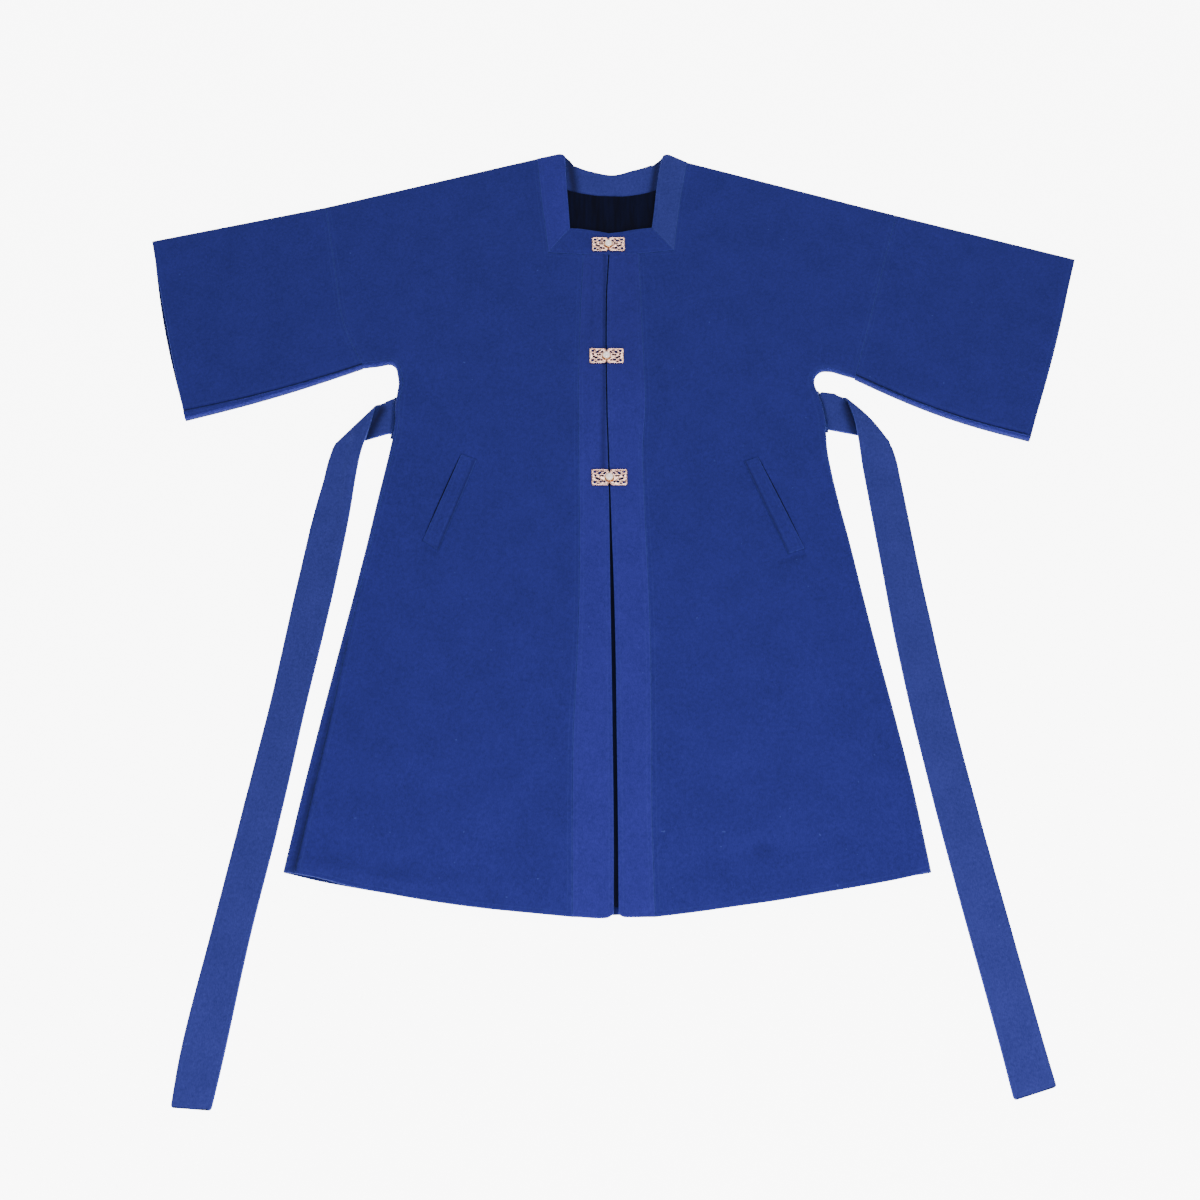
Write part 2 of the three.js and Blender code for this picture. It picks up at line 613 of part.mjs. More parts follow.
// One side band of the collar, rolled over the shoulder, and the front band mitred to it.
function collarBands(side) {
  const inward = -sign(side);
  const outer = COLLAR[side].outer.map(flat);
  const inner = COLLAR[side].inner.map(flat);
  const last = outer.length - 1;
  const top = straight(outer[0], inner[0], BAND_STEPS);
  const grid = patch(outer, inner, top, straight(outer[last], inner[last], BAND_STEPS));
  const { outward } = shoulder(side);
  const foot = () => BAND_WALL / 2;
  const roll = flanged(top, top.map(() => outward), bandZ, foot, top.map(() => FLANGE));
  add(`collar_side_${side}`, wall([lifted(grid, bandZ), roll], BAND_WALL), 'wool');

  const mitre = inner[last].clone().sub(outer[last]).normalize();
  const away = new THREE.Vector2(-mitre.y, mitre.x);
  if (away.x * inward < 0) {
    away.negate();
  }
  const shiftEnds = (points) => points.map(flat).map((p, i, all) => {
    if (i === 0) {
      return p.addScaledVector(away, SEAM_GAP);
    }
    return i === all.length - 1 ? moved(p, -inward * SEAM_GAP, 0) : p;
  });
  const upper = shiftEnds(COLLAR[side].top);
  const base = shiftEnds(COLLAR[side].base);
  const end = upper.length - 1;
  const front = patch(
    straight(upper[0], base[0], BAND_STEPS),
    straight(upper[end], base[end], BAND_STEPS),
    upper,
    base,
  );
  add(`collar_front_${side}`, wall([lifted(front, bandZ)], BAND_WALL), 'wool');
}

// The band behind the neck, on the level of the back, standing up to its free edge.
function neckBand() {
  const sewn = NECK.sewn.map(flat);
  const free = NECK.free.map(flat);
  const grid = Array.from({ length: BAND_STEPS + 1 }, (_, i) => free.map((p, j) => {
    const v = i / BAND_STEPS;
    const at = between(sewn[j], p, v);
    return new THREE.Vector3(at.x, at.y, BACK_LEVEL + NECK.rise[j] * v);
  }));
  add('collar_back', wall([grid], WALL), 'wool');
}

// One front band beside the slit.
function frontBand(side) {
  const inward = -sign(side);
  const seam = CENTRE_FRONT.map((row) => new THREE.Vector2(row[side], row.y));
  const slit = CENTRE_FRONT.map((row) => {
    return new THREE.Vector2(row.slit - inward * row.half, row.y);
  });
  seam[0].y = COLLAR[side].base[2][1] - SEAM_GAP;
  slit[0].y = COLLAR[side].base[4][1] - SEAM_GAP;
  const last = seam.length - 1;
  const grid = patch(
    seam,
    slit,
    straight(seam[0], slit[0], BAND_STEPS),
    straight(seam[last], slit[last], BAND_STEPS),
  );
  add(`placket_${side}`, wall([lifted(grid, bandZ)], BAND_WALL), 'wool');
}

// One slanted pocket welt, made from the front's points moved out.
function welt(side) {
  const [topOuter, topInner, lowInner, lowOuter] = WELT[side].map(flat);
  const grid = patch(
    straight(topOuter, lowOuter, WELT_STEPS.along),
    straight(topInner, lowInner, WELT_STEPS.along),
    straight(topOuter, topInner, WELT_STEPS.across),
    straight(lowOuter, lowInner, WELT_STEPS.across),
  );
  const lift = (WALL + WELT_WALL) / 2 + SEAM_GAP;
  add(`welt_${side}`, wall([lifted(grid, (x, y) => frontZ(x, y) + lift)], WELT_WALL), 'wool');
}

// The belt as one strip: hanging end, fold, stub, the stretch under the back, and so on.
function belt() {
  const crossing = (low, high, z) => straight(flat(low), flat(high), BAND_STEPS)
    .map((p) => new THREE.Vector3(p.x, p.y, z));
  const foldTurn = (side) => {
    const low = flat(BELT_FOLD[side].low);
    const high = flat(BELT_FOLD[side].high);
    const along = high.clone().sub(low).normalize();
    const outward = new THREE.Vector2(-along.y, along.x);
    if (outward.x * sign(side) < 0) {
      outward.negate();
    }
    const start = -(BELT_FOLD_RADIUS + BELT_WALL / 2);
    return Array.from({ length: ROLL_STEPS + 1 }, (_, k) => {
      const angle = (Math.PI * k) / ROLL_STEPS;
      const reach = start + BELT_FOLD_RADIUS * Math.sin(angle);
      const z = BELT_LEVEL + BELT_FOLD_RADIUS * (1 + Math.cos(angle));
      const ends = [low, high].map((p) => p.clone().addScaledVector(outward, reach).toArray());
      return crossing(ends[0], ends[1], z);
    });
  };
  const hanging = (side) => BELT_HANG[side].map((row) => crossing(row.low, row.high, row.z));
  const stub = (side) => BELT_STUB[side].map((row) => crossing(row.low, row.high, BELT_LEVEL));
  const half = BELT_WIDTH / 2;
  const hidden = Array.from({ length: BELT_HIDDEN_STEPS + 1 }, (_, k) => {
    const t = k / BELT_HIDDEN_STEPS;
    const x = THREE.MathUtils.lerp(BELT_RIGHT.x, BELT_LEFT.x, t);
    const y = THREE.MathUtils.lerp(BELT_RIGHT.y, BELT_LEFT.y, t);
    return crossing([x, y - half], [x, y + half], BELT_LEVEL);
  });
  const rows = [
    ...hanging('right'),
    ...foldTurn('right'),
    ...stub('right'),
    ...hidden,
    ...stub('left'),
    ...foldTurn('left').reverse(),
    ...hanging('left'),
  ];
  add('belt', wall([rows], BELT_WALL), 'wool');
}

// The outline's x beside the belt, below the underarm.
function edgeAt(side, y) {
  const rows = OUTLINE[side].slice(UNDERARM_ROWS);
  const k = Math.max(1, rows.findIndex((row) => row[1] <= y));
  const t = (y - rows[k - 1][1]) / (rows[k][1] - rows[k - 1][1]);
  return THREE.MathUtils.lerp(rows[k - 1][0], rows[k][0], t);
}

// One belt loop just outside the side seam, bridging the belt.
function beltLoop(side) {
  const middle = side === 'right' ? BELT_RIGHT.y : BELT_LEFT.y;
  const rows = LOOP_PATH.map(([along, z]) => {
    const y = middle + along;
    const near = Math.abs(edgeAt(side, y)) + LOOP_CLEAR;
    return [near, near + LOOP_WIDTH].map((x) => new THREE.Vector3(sign(side) * x, y, z));
  });
  add(`belt_loop_${side}`, wall([rows], LOOP_WALL), 'wool');
}

// A slot with round ends, as a path for a hole.
function slot(x, y, length, width, turn) {
  const points = Array.from({ length: HOLE_SIDES }, (_, i) => {
    const angle = (2 * Math.PI * (i + 0.5)) / HOLE_SIDES;
    const end = Math.sign(Math.cos(angle)) * (length - width) / 2;
    return new THREE.Vector2(end + (width / 2) * Math.cos(angle), (width / 2) * Math.sin(angle));
  });
  const origin = new THREE.Vector2();
  const place = new THREE.Vector2(x, y);
  return new THREE.Path(points.map((p) => {
    return p.rotateAround(origin, THREE.MathUtils.degToRad(turn)).add(place);
  }));
}

// One clasp: two half plates with notches at the joint, and the pearl in its bezel on both.
function clasp(name, centre) {
  const [x, y] = centre;
  const half = PLATE.length / 2;
  const reach = PLATE.height / 2;
  const surface = Math.max(...[-half, 0, half].flatMap((dx) => [-reach, 0, reach].map((dy) => {
    return bandZ(x + dx, y + dy);
  })));
  const base = surface + BAND_WALL / 2 + CLASP_CLEAR;
  for (const side of ['right', 'left']) {
    const outward = sign(side);
    const shape = new THREE.Shape([
      new THREE.Vector2(PLATE.joint, reach - PLATE.notch),
      new THREE.Vector2(PLATE.joint + PLATE.notch / 2, reach),
      new THREE.Vector2(half - PLATE.corner, reach),
      new THREE.Vector2(half, reach - PLATE.corner),
      new THREE.Vector2(half, -reach + PLATE.corner),
      new THREE.Vector2(half - PLATE.corner, -reach),
      new THREE.Vector2(PLATE.joint + PLATE.notch / 2, -reach),
      new THREE.Vector2(PLATE.joint, -reach + PLATE.notch),
    ].map((p) => p.multiply(new THREE.Vector2(outward, 1))));
    shape.holes = HOLES.map((hole) => slot(
      outward * hole.x * half,
      (hole.y - 0.5) * PLATE.height,
      hole.length,
      hole.width,
      outward * hole.turn,
    ));
    const solid = new THREE.ExtrudeGeometry(shape, { depth: PLATE.wall, bevelEnabled: false });
    solid.deleteAttribute('normal');
    solid.deleteAttribute('uv');
    const mesh = add(`clasp_${name}_${side}`, mergeVertices(solid), 'metal');
    mesh.geometry.computeVertexNormals();
    mesh.position.set(x, y, base);
  }
  const dome = Array.from({ length: PEARL.arcs + 1 }, (_, i) => {
    const angle = (Math.PI / 2) * (i / PEARL.arcs);
    return new THREE.Vector2(
      i === PEARL.arcs ? 0 : PEARL.radius * Math.cos(angle),
      PEARL.bezelHeight - PEARL.lip + PEARL.dome * Math.sin(angle),
    );
  });
  const profile = [
    new THREE.Vector2(0, 0),
    new THREE.Vector2(PEARL.bezel, 0),
    new THREE.Vector2(PEARL.bezel, PEARL.bezelHeight - PEARL.lip),
    new THREE.Vector2(PEARL.radius + PEARL.lip, PEARL.bezelHeight),
    ...dome,
  ];
  const lathe = new THREE.LatheGeometry(profile, PEARL.sides);
  lathe.rotateX(Math.PI / 2);
  lathe.deleteAttribute('normal');
  lathe.deleteAttribute('uv');
  const pearl = add(`pearl_${name}`, mergeVertices(lathe, 1e-3), 'pearl');
  pearl.geometry.computeVertexNormals();
  pearl.position.set(x, y, base + PLATE.wall + CLASP_CLEAR);
}

backPanel();
backLining();
neckBand();
for (const side of ['right', 'left']) {
  frontPanel(side);
  sleeve(side);
  collarBands(side);
  frontBand(side);
  welt(side);
  beltLoop(side);
}
belt();
for (const [name, centre] of Object.entries(CLASPS)) {
  clasp(name, centre);
}

export default group;
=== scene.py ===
"""Square-collar long jacket laid flat: its cloth, clasps and pearls, dressed on the CAD frame.

Tables are in millimetres in the part's frame: +X is the wearer's left, +Y points to the neck
and +Z is up. Meshes are in metres.
"""

import logging
import math
from dataclasses import dataclass, field
from enum import Enum
from typing import Callable, Sequence

import bmesh
import bpy
import numpy as np
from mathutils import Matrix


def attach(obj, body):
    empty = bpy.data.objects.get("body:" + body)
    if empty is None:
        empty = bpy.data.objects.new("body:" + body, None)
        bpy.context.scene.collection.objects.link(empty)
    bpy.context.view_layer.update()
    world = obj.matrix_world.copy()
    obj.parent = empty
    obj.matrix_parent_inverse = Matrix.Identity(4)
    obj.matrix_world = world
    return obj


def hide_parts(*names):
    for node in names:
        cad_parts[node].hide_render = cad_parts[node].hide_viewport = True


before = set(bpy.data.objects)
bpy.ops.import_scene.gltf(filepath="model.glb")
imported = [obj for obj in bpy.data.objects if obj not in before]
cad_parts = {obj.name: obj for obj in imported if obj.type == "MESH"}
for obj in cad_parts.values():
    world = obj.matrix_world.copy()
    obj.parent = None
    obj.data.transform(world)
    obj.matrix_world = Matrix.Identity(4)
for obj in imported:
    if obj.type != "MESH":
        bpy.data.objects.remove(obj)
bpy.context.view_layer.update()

logging.basicConfig(level=logging.INFO, format="%(name)s: %(message)s")
LOG = logging.getLogger("jacket")

MM = 0.001
Level = Callable[[np.ndarray, np.ndarray], np.ndarray]
Points = Sequence[Sequence[float]]
Size = tuple[float, float]
Colour = tuple[float, float, float]
Material = bpy.types.Material
Object = bpy.types.Object
Socket = bpy.types.NodeSocket


class Side(Enum):
    """The wearer's side of the jacket."""

    RIGHT = "right"
    LEFT = "left"

    @property
    def sign(self) -> int:
        """-1 on the wearer's right and 1 on the left, as X runs."""
        return -1 if self is Side.RIGHT else 1


class Hold(Enum):
    """How a sheet of cloth is held."""

    LAID = "laid"
    FOLDED = "folded"


# Thicknesses of the cloth and the levels of the middles of its layers.
WALL = 2.5
BAND_WALL = 3.0
LINING_WALL = 0.8
BELT_WALL = 3.0
LOOP_WALL = 1.2
BACK_LEVEL = WALL / 2
FRONT_LEVEL = 7.7
BAND_LEVEL = FRONT_LEVEL + (BAND_WALL - WALL) / 2
LINING_LEVEL = 3.6
BELT_LEVEL = BELT_WALL / 2

# The gap at a seam, and how much longer it is along X where the seam slants.
SEAM_GAP = 0.04
SLANT = 1.05

# A rolled edge: its radius, its reach to the outside, the flange after it, and its steps.
ROLL = (FRONT_LEVEL - BACK_LEVEL) / 2
EDGE = ROLL + WALL / 2
FLANGE = 1.2
ROLL_STEPS = 12

# The belt crosses under the back on this line, and the layers rise over it.
BELT_RIGHT = (-275.0, 201.0)
BELT_LEFT = (262.0, 210.5)
BELT_WIDTH = 46.0
RISE_FLAT = 32.0
RISE_END = 112.0
BACK_RISE = 3.35
LINING_RISE = 2.95
FRONT_RISE = 0.85

# How far apart the rows of a grid are: in cloth that shows, hidden cloth and the bands, and
# beside an edge. Points that lie closer than WELD are one.
CLOTH_STEP = 5.0
HIDDEN_STEP = 9.0
BAND_STEP = 3.0
EDGE_STEP = 2.2
WELD = 0.002

# Edges of cloth as shares of the reach out and of half the wall: sewn flush, and folded round.
# The reach grows at a corner, to 1 / MITRE at most.
FLUSH = ((0, 1), (0.55, 0.93), (1, 0.7), (1, -0.7), (0.55, -0.93), (0, -1))
FLUSH_REACH = 0.9
MITRE = 0.6
ROUND = tuple((math.sin(math.pi * k / 6), math.cos(math.pi * k / 6)) for k in range(7))

# The armholes from the shoulder to the underarm, and the stretches they are cut into.
ARMHOLE = {
    Side.RIGHT: [(-394, 534), (-372, 422), (-355, 343), (-326, 279)],
    Side.LEFT: [(391, 520), (364, 427), (340, 343), (316, 262.5)],
}
ARMHOLE_STEPS = 6

# Outlines from underarm to hem. The back reaches past its rolled edge by FLANGE, and on the
# right by STRIPS at the last points.
OUTLINE = {
    Side.RIGHT: [
        (-324.8, 274.7), (-305, 277.5), (-288, 280), (-282.5, 275), (-279.3, 264), (-277, 250),
        (-278, 236), (-279.5, 216), (-278.5, 196), (-279, 176), (-282, 151), (-286.5, 122),
        (-292.3, 85), (-301, 25), (-311, -38), (-323, -110), (-337, -195), (-351.3, -285),
        (-365.5, -384.5),
    ],
    Side.LEFT: [
        (314.7, 258.5), (298, 264), (285, 268.6), (272, 268.2), (264.3, 261), (261.8, 250),
        (265, 237), (270, 216), (272.5, 196), (272, 176), (272, 151), (275, 122), (280, 85),
        (290, 25), (299.3, -38), (310.4, -110), (323.6, -190), (338, -285), (349.6, -384.5),
    ],
}
STRIPS = {Side.RIGHT: (1.4, 2.2, 3.5, 7, 8.5, 9), Side.LEFT: ()}

# The first outline points, round the underarm, and how far the back's rows bow there.
UNDERARM_ROWS = 5
UNDERARM_BOW = [0, 0, 0, 0, 3, 14, 35, 20, 7]

# The centre front: y, the slit's middle, half its width, and the two band seams.
CENTRE_FRONT = [
    (456, -4, 0.3, -38.5, 36.5), (425, -5.6, 0.3, -39.7, 37.3), (395, -7.2, 0.3, -41, 38.2),
    (365, -7.6, 0.3, -42, 39), (335, -8, 0.3, -42.5, 39.7), (305, -8, 0.3, -43.2, 40.5),
    (278, -8, 0.3, -43.6, 41), (252, -7.7, 0.3, -43.8, 42), (226, -7.3, 0.3, -43.7, 42.5),
    (200, -7, 0.3, -43, 41.5), (174, -6.2, 0.3, -42.9, 39.5), (146, -5.4, 0.4, -42.7, 38),
    (105, -4.3, 0.6, -42, 38.5), (40, -3, 1.3, -41.2, 40), (-40, -1.4, 2.1, -41, 42.5),
    (-130, 0, 2.4, -43, 43.5), (-220, 0.8, 2.3, -46.5, 43), (-320, 1.6, 2.3, -47, 42),
    (-433.8, 1.6, 2.6, -46, 44),
]

# The collar's bands: the side band's edges from the shoulder to the mitre, and the front
# band's from the mitre to the centre.
COLLAR = {
    Side.RIGHT: {
        "outer": [(-104, 620.3), (-99.5, 575), (-96, 540), (-92.5, 515), (-89, 485), (-86, 459)],
        "inner": [(-65.5, 631), (-63.5, 595), (-62, 570), (-60, 545), (-58.5, 522), (-57, 500)],
        "top": [(-57, 500), (-42, 499), (-28, 496.5), (-16, 494), (-4, 491.5)],
        "base": [(-86, 459), (-62, 457.5), (-38.5, 456), (-21, 455.7), (-4, 455.5)],
    },
    Side.LEFT: {
        "outer": [(106, 613.6), (102, 590), (97, 560), (92, 525), (88, 492), (84.5, 463)],
        "inner": [(73.8, 631.3), (68.8, 611), (64.5, 585), (61.5, 560), (58.5, 530), (55, 501)],
        "top": [(55, 501), (43, 499.5), (30, 497.5), (12, 493.5), (-4, 491.5)],
        "base": [(84.5, 463), (60, 460), (36.5, 457), (16, 456), (-4, 455.5)],
    },
}

# The neck band's seam and its free edge, and how high the free edge stands along it.
NECK_SEWN = [(-104, 615.3), (-83, 591), (-63, 572.5), (-33, 563), (2, 559), (33, 561.8),
             (62, 571), (84, 590), (106, 610.2)]
NECK_FREE = [(-68, 635), (-60.5, 625), (-49, 610.5), (-22, 598), (2, 593.2), (28, 601),
             (54, 611.8), (65.5, 620.5), (74, 634)]
NECK_RISE = [0, 2.6, 5.6, 6.6, 6.8, 6.6, 5.6, 2.6, 0]

# The hems of the fronts from the side to the band, and of the back from right to left.
HEM = {
    Side.RIGHT: [(-326, -391.2), (-289, -400.8), (-252, -407.8), (-197, -417.2), (-137, -425),
                 (-90, -429.6)],
    Side.LEFT: [(313, -392.3), (269, -400.4), (225, -407.8), (180, -415.4), (134, -421.9),
                (90, -428.2)],
}
HEM_BACK = [(-347, -389.1), (-325, -393.7), (-302, -397.8), (-280, -402), (-258, -405.9),
            (-225, -410.5), (-190, -415), (-150, -420), (-110, -424.8), (-70, -428.3),
            (-30, -430.6), (10, -430.4), (50, -428.3), (90, -425), (130, -419.8), (170, -413.8),
            (210, -407.8), (250, -400.6), (290, -394), (318, -389)]

# Soft folds in the fronts: from x, y to x, y, half width and height.
FOLDS = [
    (82, -384, 164, -358, 13, -1.3), (164, -358, 254, -349, 13, -1.3),
    (254, -349, 300, -351, 12, -0.8), (288, -170, 292, -241, 12, 1.3),
    (-250, -372, -140, -388, 13, -0.7), (-262, 215, -225, 120, 14, -0.8),
    (255, 215, 228, 130, 14, -0.8), (236, 2, 212, -4, 5, -0.7),
    (49, 330, 50, -330, 5, 0.45), (-52, 330, -53, -330, 5, 0.35),
    (-341, -374, -215, -399, 6.5, 1.5), (-334, -330, -344, -378, 6, 0.7),
    (-325, -240, -335, -330, 6, 0.6), (-60, -406, -250, -386, 10, 0.5),
]

# The same in the sleeves, the neck band, the front bands and the belt.
SLEEVE_FOLDS = [
    (-585, 440, -560, 330, 7, -0.5), (592, 430, 560, 300, 7, -0.4),
    (-420, 520, -395, 400, 18, 0.5), (415, 505, 392, 395, 18, 0.5),
]
NECK_FOLDS = [(-55, 612, -51, 574, 5, -3.4), (60, 612, 55, 574, 4, -3.0)]
BAND_FOLDS = [(24, 6, 26, 6, 6, -0.5), (25, -52, 27, -52, 6, -0.5),
              (-24, 450, -23, 230, 5, -0.35), (20, 430, 19, 250, 6, -0.25)]
BELT_FOLDS = [(-327, 172, -332, 126, 5, 1.4), (-332, 126, -334, 88, 5, 1.7),
              (-334, 88, -339, 10, 6, 1.2), (-372, 40, -340, 60, 9, 0.8),
              (-430, -300, -385, -322, 10, 0.7), (336, 120, 342, 20, 7, 0.9),
              (345, -60, 385, -90, 10, 0.8), (395, -350, 430, -372, 10, 0.6)]

# How far the collar's inner edge stands up, and the lining's pleat: its height, how far right
# of the centre it lies, and its half width.
COLLAR_LIFT = 1.2
PLEAT = (0.8, 1.5, 13)

# Where a piece lies in the shade of another: lines as in the folds, with the depth of the
# shade, 0 to 1, in place of the height. On a piece in SHADE_BELOW only its low part is shaded.
SHADES = {
    "collar_back": [(-60, 628, -52, 570, 7, 0.78), (66, 626, 57, 570, 4.5, 0.78)],
    "belt": [(-297, 214, -313, 169, 7, 0.85), (302, 221, 310, 177, 7, 0.8),
             (-274, 230, -278, 170, 4, 0.55), (264, 241, 273, 182, 4.5, 0.6)],
    "placket_right": [(-9.5, 455, -12, 120, 3.4, 0.5), (-27, 440, -26, 300, 4, 0.26),
                      (-23, 470, -23, 300, 75, 0.17)],
    "placket_left": [(22, 452, 21, 330, 5, 0.22), (17, 470, 17, 300, 75, 0.17)],
    "front_left": [(232, 2, 204, -8, 3, 0.24)],
    "front_right": [(-233, 13, -214, 2, 2.6, 0.2), (-305, -45, -315, -110, 1.2, 0.3),
                    (-315, -110, -325.5, -195, 1.4, 0.5), (-325.5, -195, -338.3, -285, 1.5, 0.65),
                    (-338.3, -285, -352, -384.5, 1.6, 0.7)],
    "welt_right": [(-174, 134, -214, 8, 1.3, 0.5), (-212, 8, -232, 21, 1.3, 0.3)],
    "welt_left": [(167, 131, 214, 4, 1.3, 0.5)],
    "back_panel": [(0, -436, 1, -412, 6, 0.9), (-305, -45, -315, -110, 1.2, 0.3),
                   (-315, -110, -325.5, -195, 1.5, 0.5), (-325.5, -195, -338.3, -285, 1.8, 0.65),
                   (-338.3, -285, -352, -384.5, 2, 0.75), (-356, -390, -215, -411.5, 5, 0.5)],
}
SHADE_BELOW = {"belt": 4.9}

# Middles of the clasps, and the shade that they cast on the bands under their holes.
CLASPS = {"top": (-4.5, 471.4), "middle": (-7.5, 290.2), "bottom": (-4.2, 109.4)}
UNDER_CLASPS = [(x - 14, y, x + 14, y, 7.5, 0.95) for x, y in CLASPS.values()]
CLASPED = ("placket_right", "placket_left", "collar_front_right", "collar_front_left")


def rows_of(table: Points) -> np.ndarray:
    """A table's rows as an array of their own."""
    return np.array(table, float)


def unit(vectors: np.ndarray) -> np.ndarray:
    """Vectors scaled to length 1, along the last axis."""
    return vectors / np.maximum(np.linalg.norm(vectors, axis=-1, keepdims=True), 1e-12)


def refine(points: Points, counts: Sequence[int]) -> np.ndarray:
    """Smooth line through points, cut into a number of steps on each stretch.

    Each stretch is a cubic whose slopes at its ends are the chords' slopes, weighed by the
    chords' lengths.

    Args:
        points: the line's points, n of them.
        counts: n - 1 numbers of steps.

    Returns:
        The points of the refined line, both ends included.
    """
    p = rows_of(points)
    chord = np.maximum(np.linalg.norm(np.diff(p, axis=0), axis=1), 1e-9)[:, None]
    slope = np.diff(p, axis=0) / chord
    tangent = np.empty_like(p)
    tangent[0], tangent[-1] = slope[0], slope[-1]
    tangent[1:-1] = (slope[:-1] * chord[1:] + slope[1:] * chord[:-1]) / (chord[1:] + chord[:-1])
    runs = []
    for i, count in enumerate(counts):
        t = (np.arange(count) / count)[:, None]
        runs.append(
            (2 * t**3 - 3 * t**2 + 1) * p[i] + (t**3 - 2 * t**2 + t) * chord[i] * tangent[i]
            + (3 * t**2 - 2 * t**3) * p[i + 1] + (t**3 - t**2) * chord[i] * tangent[i + 1]
        )
    return np.vstack([*runs, p[-1:]])


def graded(values: np.ndarray, counts: Sequence[int]) -> np.ndarray:
    """Values at points, carried in straight lines to the steps of refine."""
    v = rows_of(values)
    at = stations(counts)
    low = np.minimum(at.astype(int), len(v) - 2)
    t = (at - low).reshape(-1, *([1] * (v.ndim - 1)))
    return v[low] * (1 - t) + v[low + 1] * t


def stations(counts: Sequence[int]) -> np.ndarray:
    """Place of each step along a refined line, counted in the stretches of the rough one."""
    return np.concatenate([i + np.arange(c) / c for i, c in enumerate(counts)] + [[len(counts)]])


def steps_for(lines: Sequence[np.ndarray], step: float) -> list[int]:
    """Steps for each stretch, so that the longest of the lines has none over the step."""
    chords = [np.linalg.norm(np.diff(rows_of(line), axis=0), axis=1) for line in lines]
    return [max(1, int(math.ceil(chord / step))) for chord in np.max(chords, axis=0)]


def edged(at: np.ndarray, length: float, step: float = EDGE_STEP) -> np.ndarray:
    """Shares of a length with one more a step inside each end, for a crisp rounded edge."""
    return np.unique(np.concatenate([at, [at[0] + step / length, at[-1] - step / length]]))


def crisp(count: int, length: float, step: float = EDGE_STEP) -> np.ndarray:
    """Even shares of a length, edged."""
    return edged(np.linspace(0, 1, count), length, step)


def straight(start: np.ndarray, end: np.ndarray, shares: np.ndarray) -> np.ndarray:
    """Points of a straight line at shares of its length."""
    return start + (end - start) * shares[:, None]


def lengths(line: np.ndarray) -> np.ndarray:
    """Length of a line up to each of its points."""
    return np.concatenate([[0], np.cumsum(np.linalg.norm(np.diff(line, axis=0), axis=1))])


def read_at(at: np.ndarray, places: np.ndarray, line: np.ndarray) -> np.ndarray:
    """Flat points of a line, read between the places where its own points are."""
    return np.stack([np.interp(at, places, line[:, k]) for k in (0, 1)], axis=-1)


def square_to(along: np.ndarray, toward: Sequence[float]) -> np.ndarray:
    """Direction square to a unit one, to the side that another points to."""
    turned = np.array([-along[1], along[0]])
    return turned if turned @ toward > 0 else -turned


def sided(right: object, left: object) -> dict:
    """A dataclass field with a value for each side."""
    return field(default_factory=lambda: {Side.RIGHT: right, Side.LEFT: left})


def band_seam(side: Side, gap: float = 0.0) -> np.ndarray:
    """The seam between a front and its band, moved out from the centre by a gap."""
    column = 3 if side is Side.RIGHT else 4
    seam = np.array([(row[column] + side.sign * gap, row[0]) for row in CENTRE_FRONT], float)
    seam[0, 1] = COLLAR[side]["base"][2][1] - SEAM_GAP
    return seam


def coons(left: np.ndarray, right: np.ndarray, top: np.ndarray, bottom: np.ndarray,
          v: np.ndarray, u: np.ndarray) -> np.ndarray:
    """Flat patch between four border lines.

    A point is the blend across from left to right, plus the blend down from top to bottom,
    less the blend of the four corners.

    Args:
        left, right: border lines down, one point for each v.
        top, bottom: border lines across, one point for each u.
        v: shares down, 0 to 1.
        u: shares across, 0 to 1.

    Returns:
        Points by row and column.
    """
    v = v[:, None, None]
    u = u[None, :, None]
    across = left[:, None] * (1 - u) + right[:, None] * u
    down = top[None] * (1 - v) + bottom[None] * v
    corners = ((left[0] * (1 - u) + right[0] * u) * (1 - v)
               + (left[-1] * (1 - u) + right[-1] * u) * v)
    return across + down - corners


def over_belt(x: np.ndarray, y: np.ndarray) -> np.ndarray:
    """1 over the belt's hidden stretch, easing to 0 at RISE_END from its middle line."""
    along = (x - BELT_RIGHT[0]) / (BELT_LEFT[0] - BELT_RIGHT[0])
    line = BELT_RIGHT[1] + (BELT_LEFT[1] - BELT_RIGHT[1]) * along
    t = np.clip((np.abs(y - line) - RISE_FLAT) / (RISE_END - RISE_FLAT), 0, 1)
    return 1 - t * t * (3 - 2 * t)


def bells(x: np.ndarray, y: np.ndarray, rows: Points) -> np.ndarray:
    """Sum of soft folds, each a bell across its line with rounded ends."""
    height = np.zeros(np.broadcast(x, y).shape)
    for x0, y0, x1, y1, width, rise in rows:
        dx, dy = x1 - x0, y1 - y0
        t = np.clip(((x - x0) * dx + (y - y0) * dy) / (dx * dx + dy * dy), 0, 1)
        apart = np.hypot(x - x0 - t * dx, y - y0 - t * dy)
        height += rise * np.exp(-((apart / width) ** 2))
    return height


def swell(x: np.ndarray, y: np.ndarray) -> np.ndarray:
    """Slow uneven lie of the cloth: a few long waves in unlike directions."""
    return (0.22 * np.sin(x / 47 + 0.6 + 0.8 * np.sin(y / 83)) * np.sin(y / 61 + 1.1)
            + 0.16 * np.sin((x + 0.6 * y) / 29 + 2.0) * np.sin((x - 1.7 * y) / 97)
            + 0.10 * np.sin((1.3 * x - y) / 21 + 0.4) * np.sin((x + y) / 53 + 0.9))


def back_z(x: np.ndarray, y: np.ndarray) -> np.ndarray:
    """Level of the back."""
    return BACK_LEVEL + BACK_RISE * over_belt(x, y)


def lining_z(x: np.ndarray, y: np.ndarray) -> np.ndarray:
    """Level of the lining, with its centre pleat."""
    height, shift, half = PLEAT
    pleat = height * np.exp(-(((x + shift) / half) ** 6)) * (1 - over_belt(x, y))
    return LINING_LEVEL + LINING_RISE * over_belt(x, y) + pleat


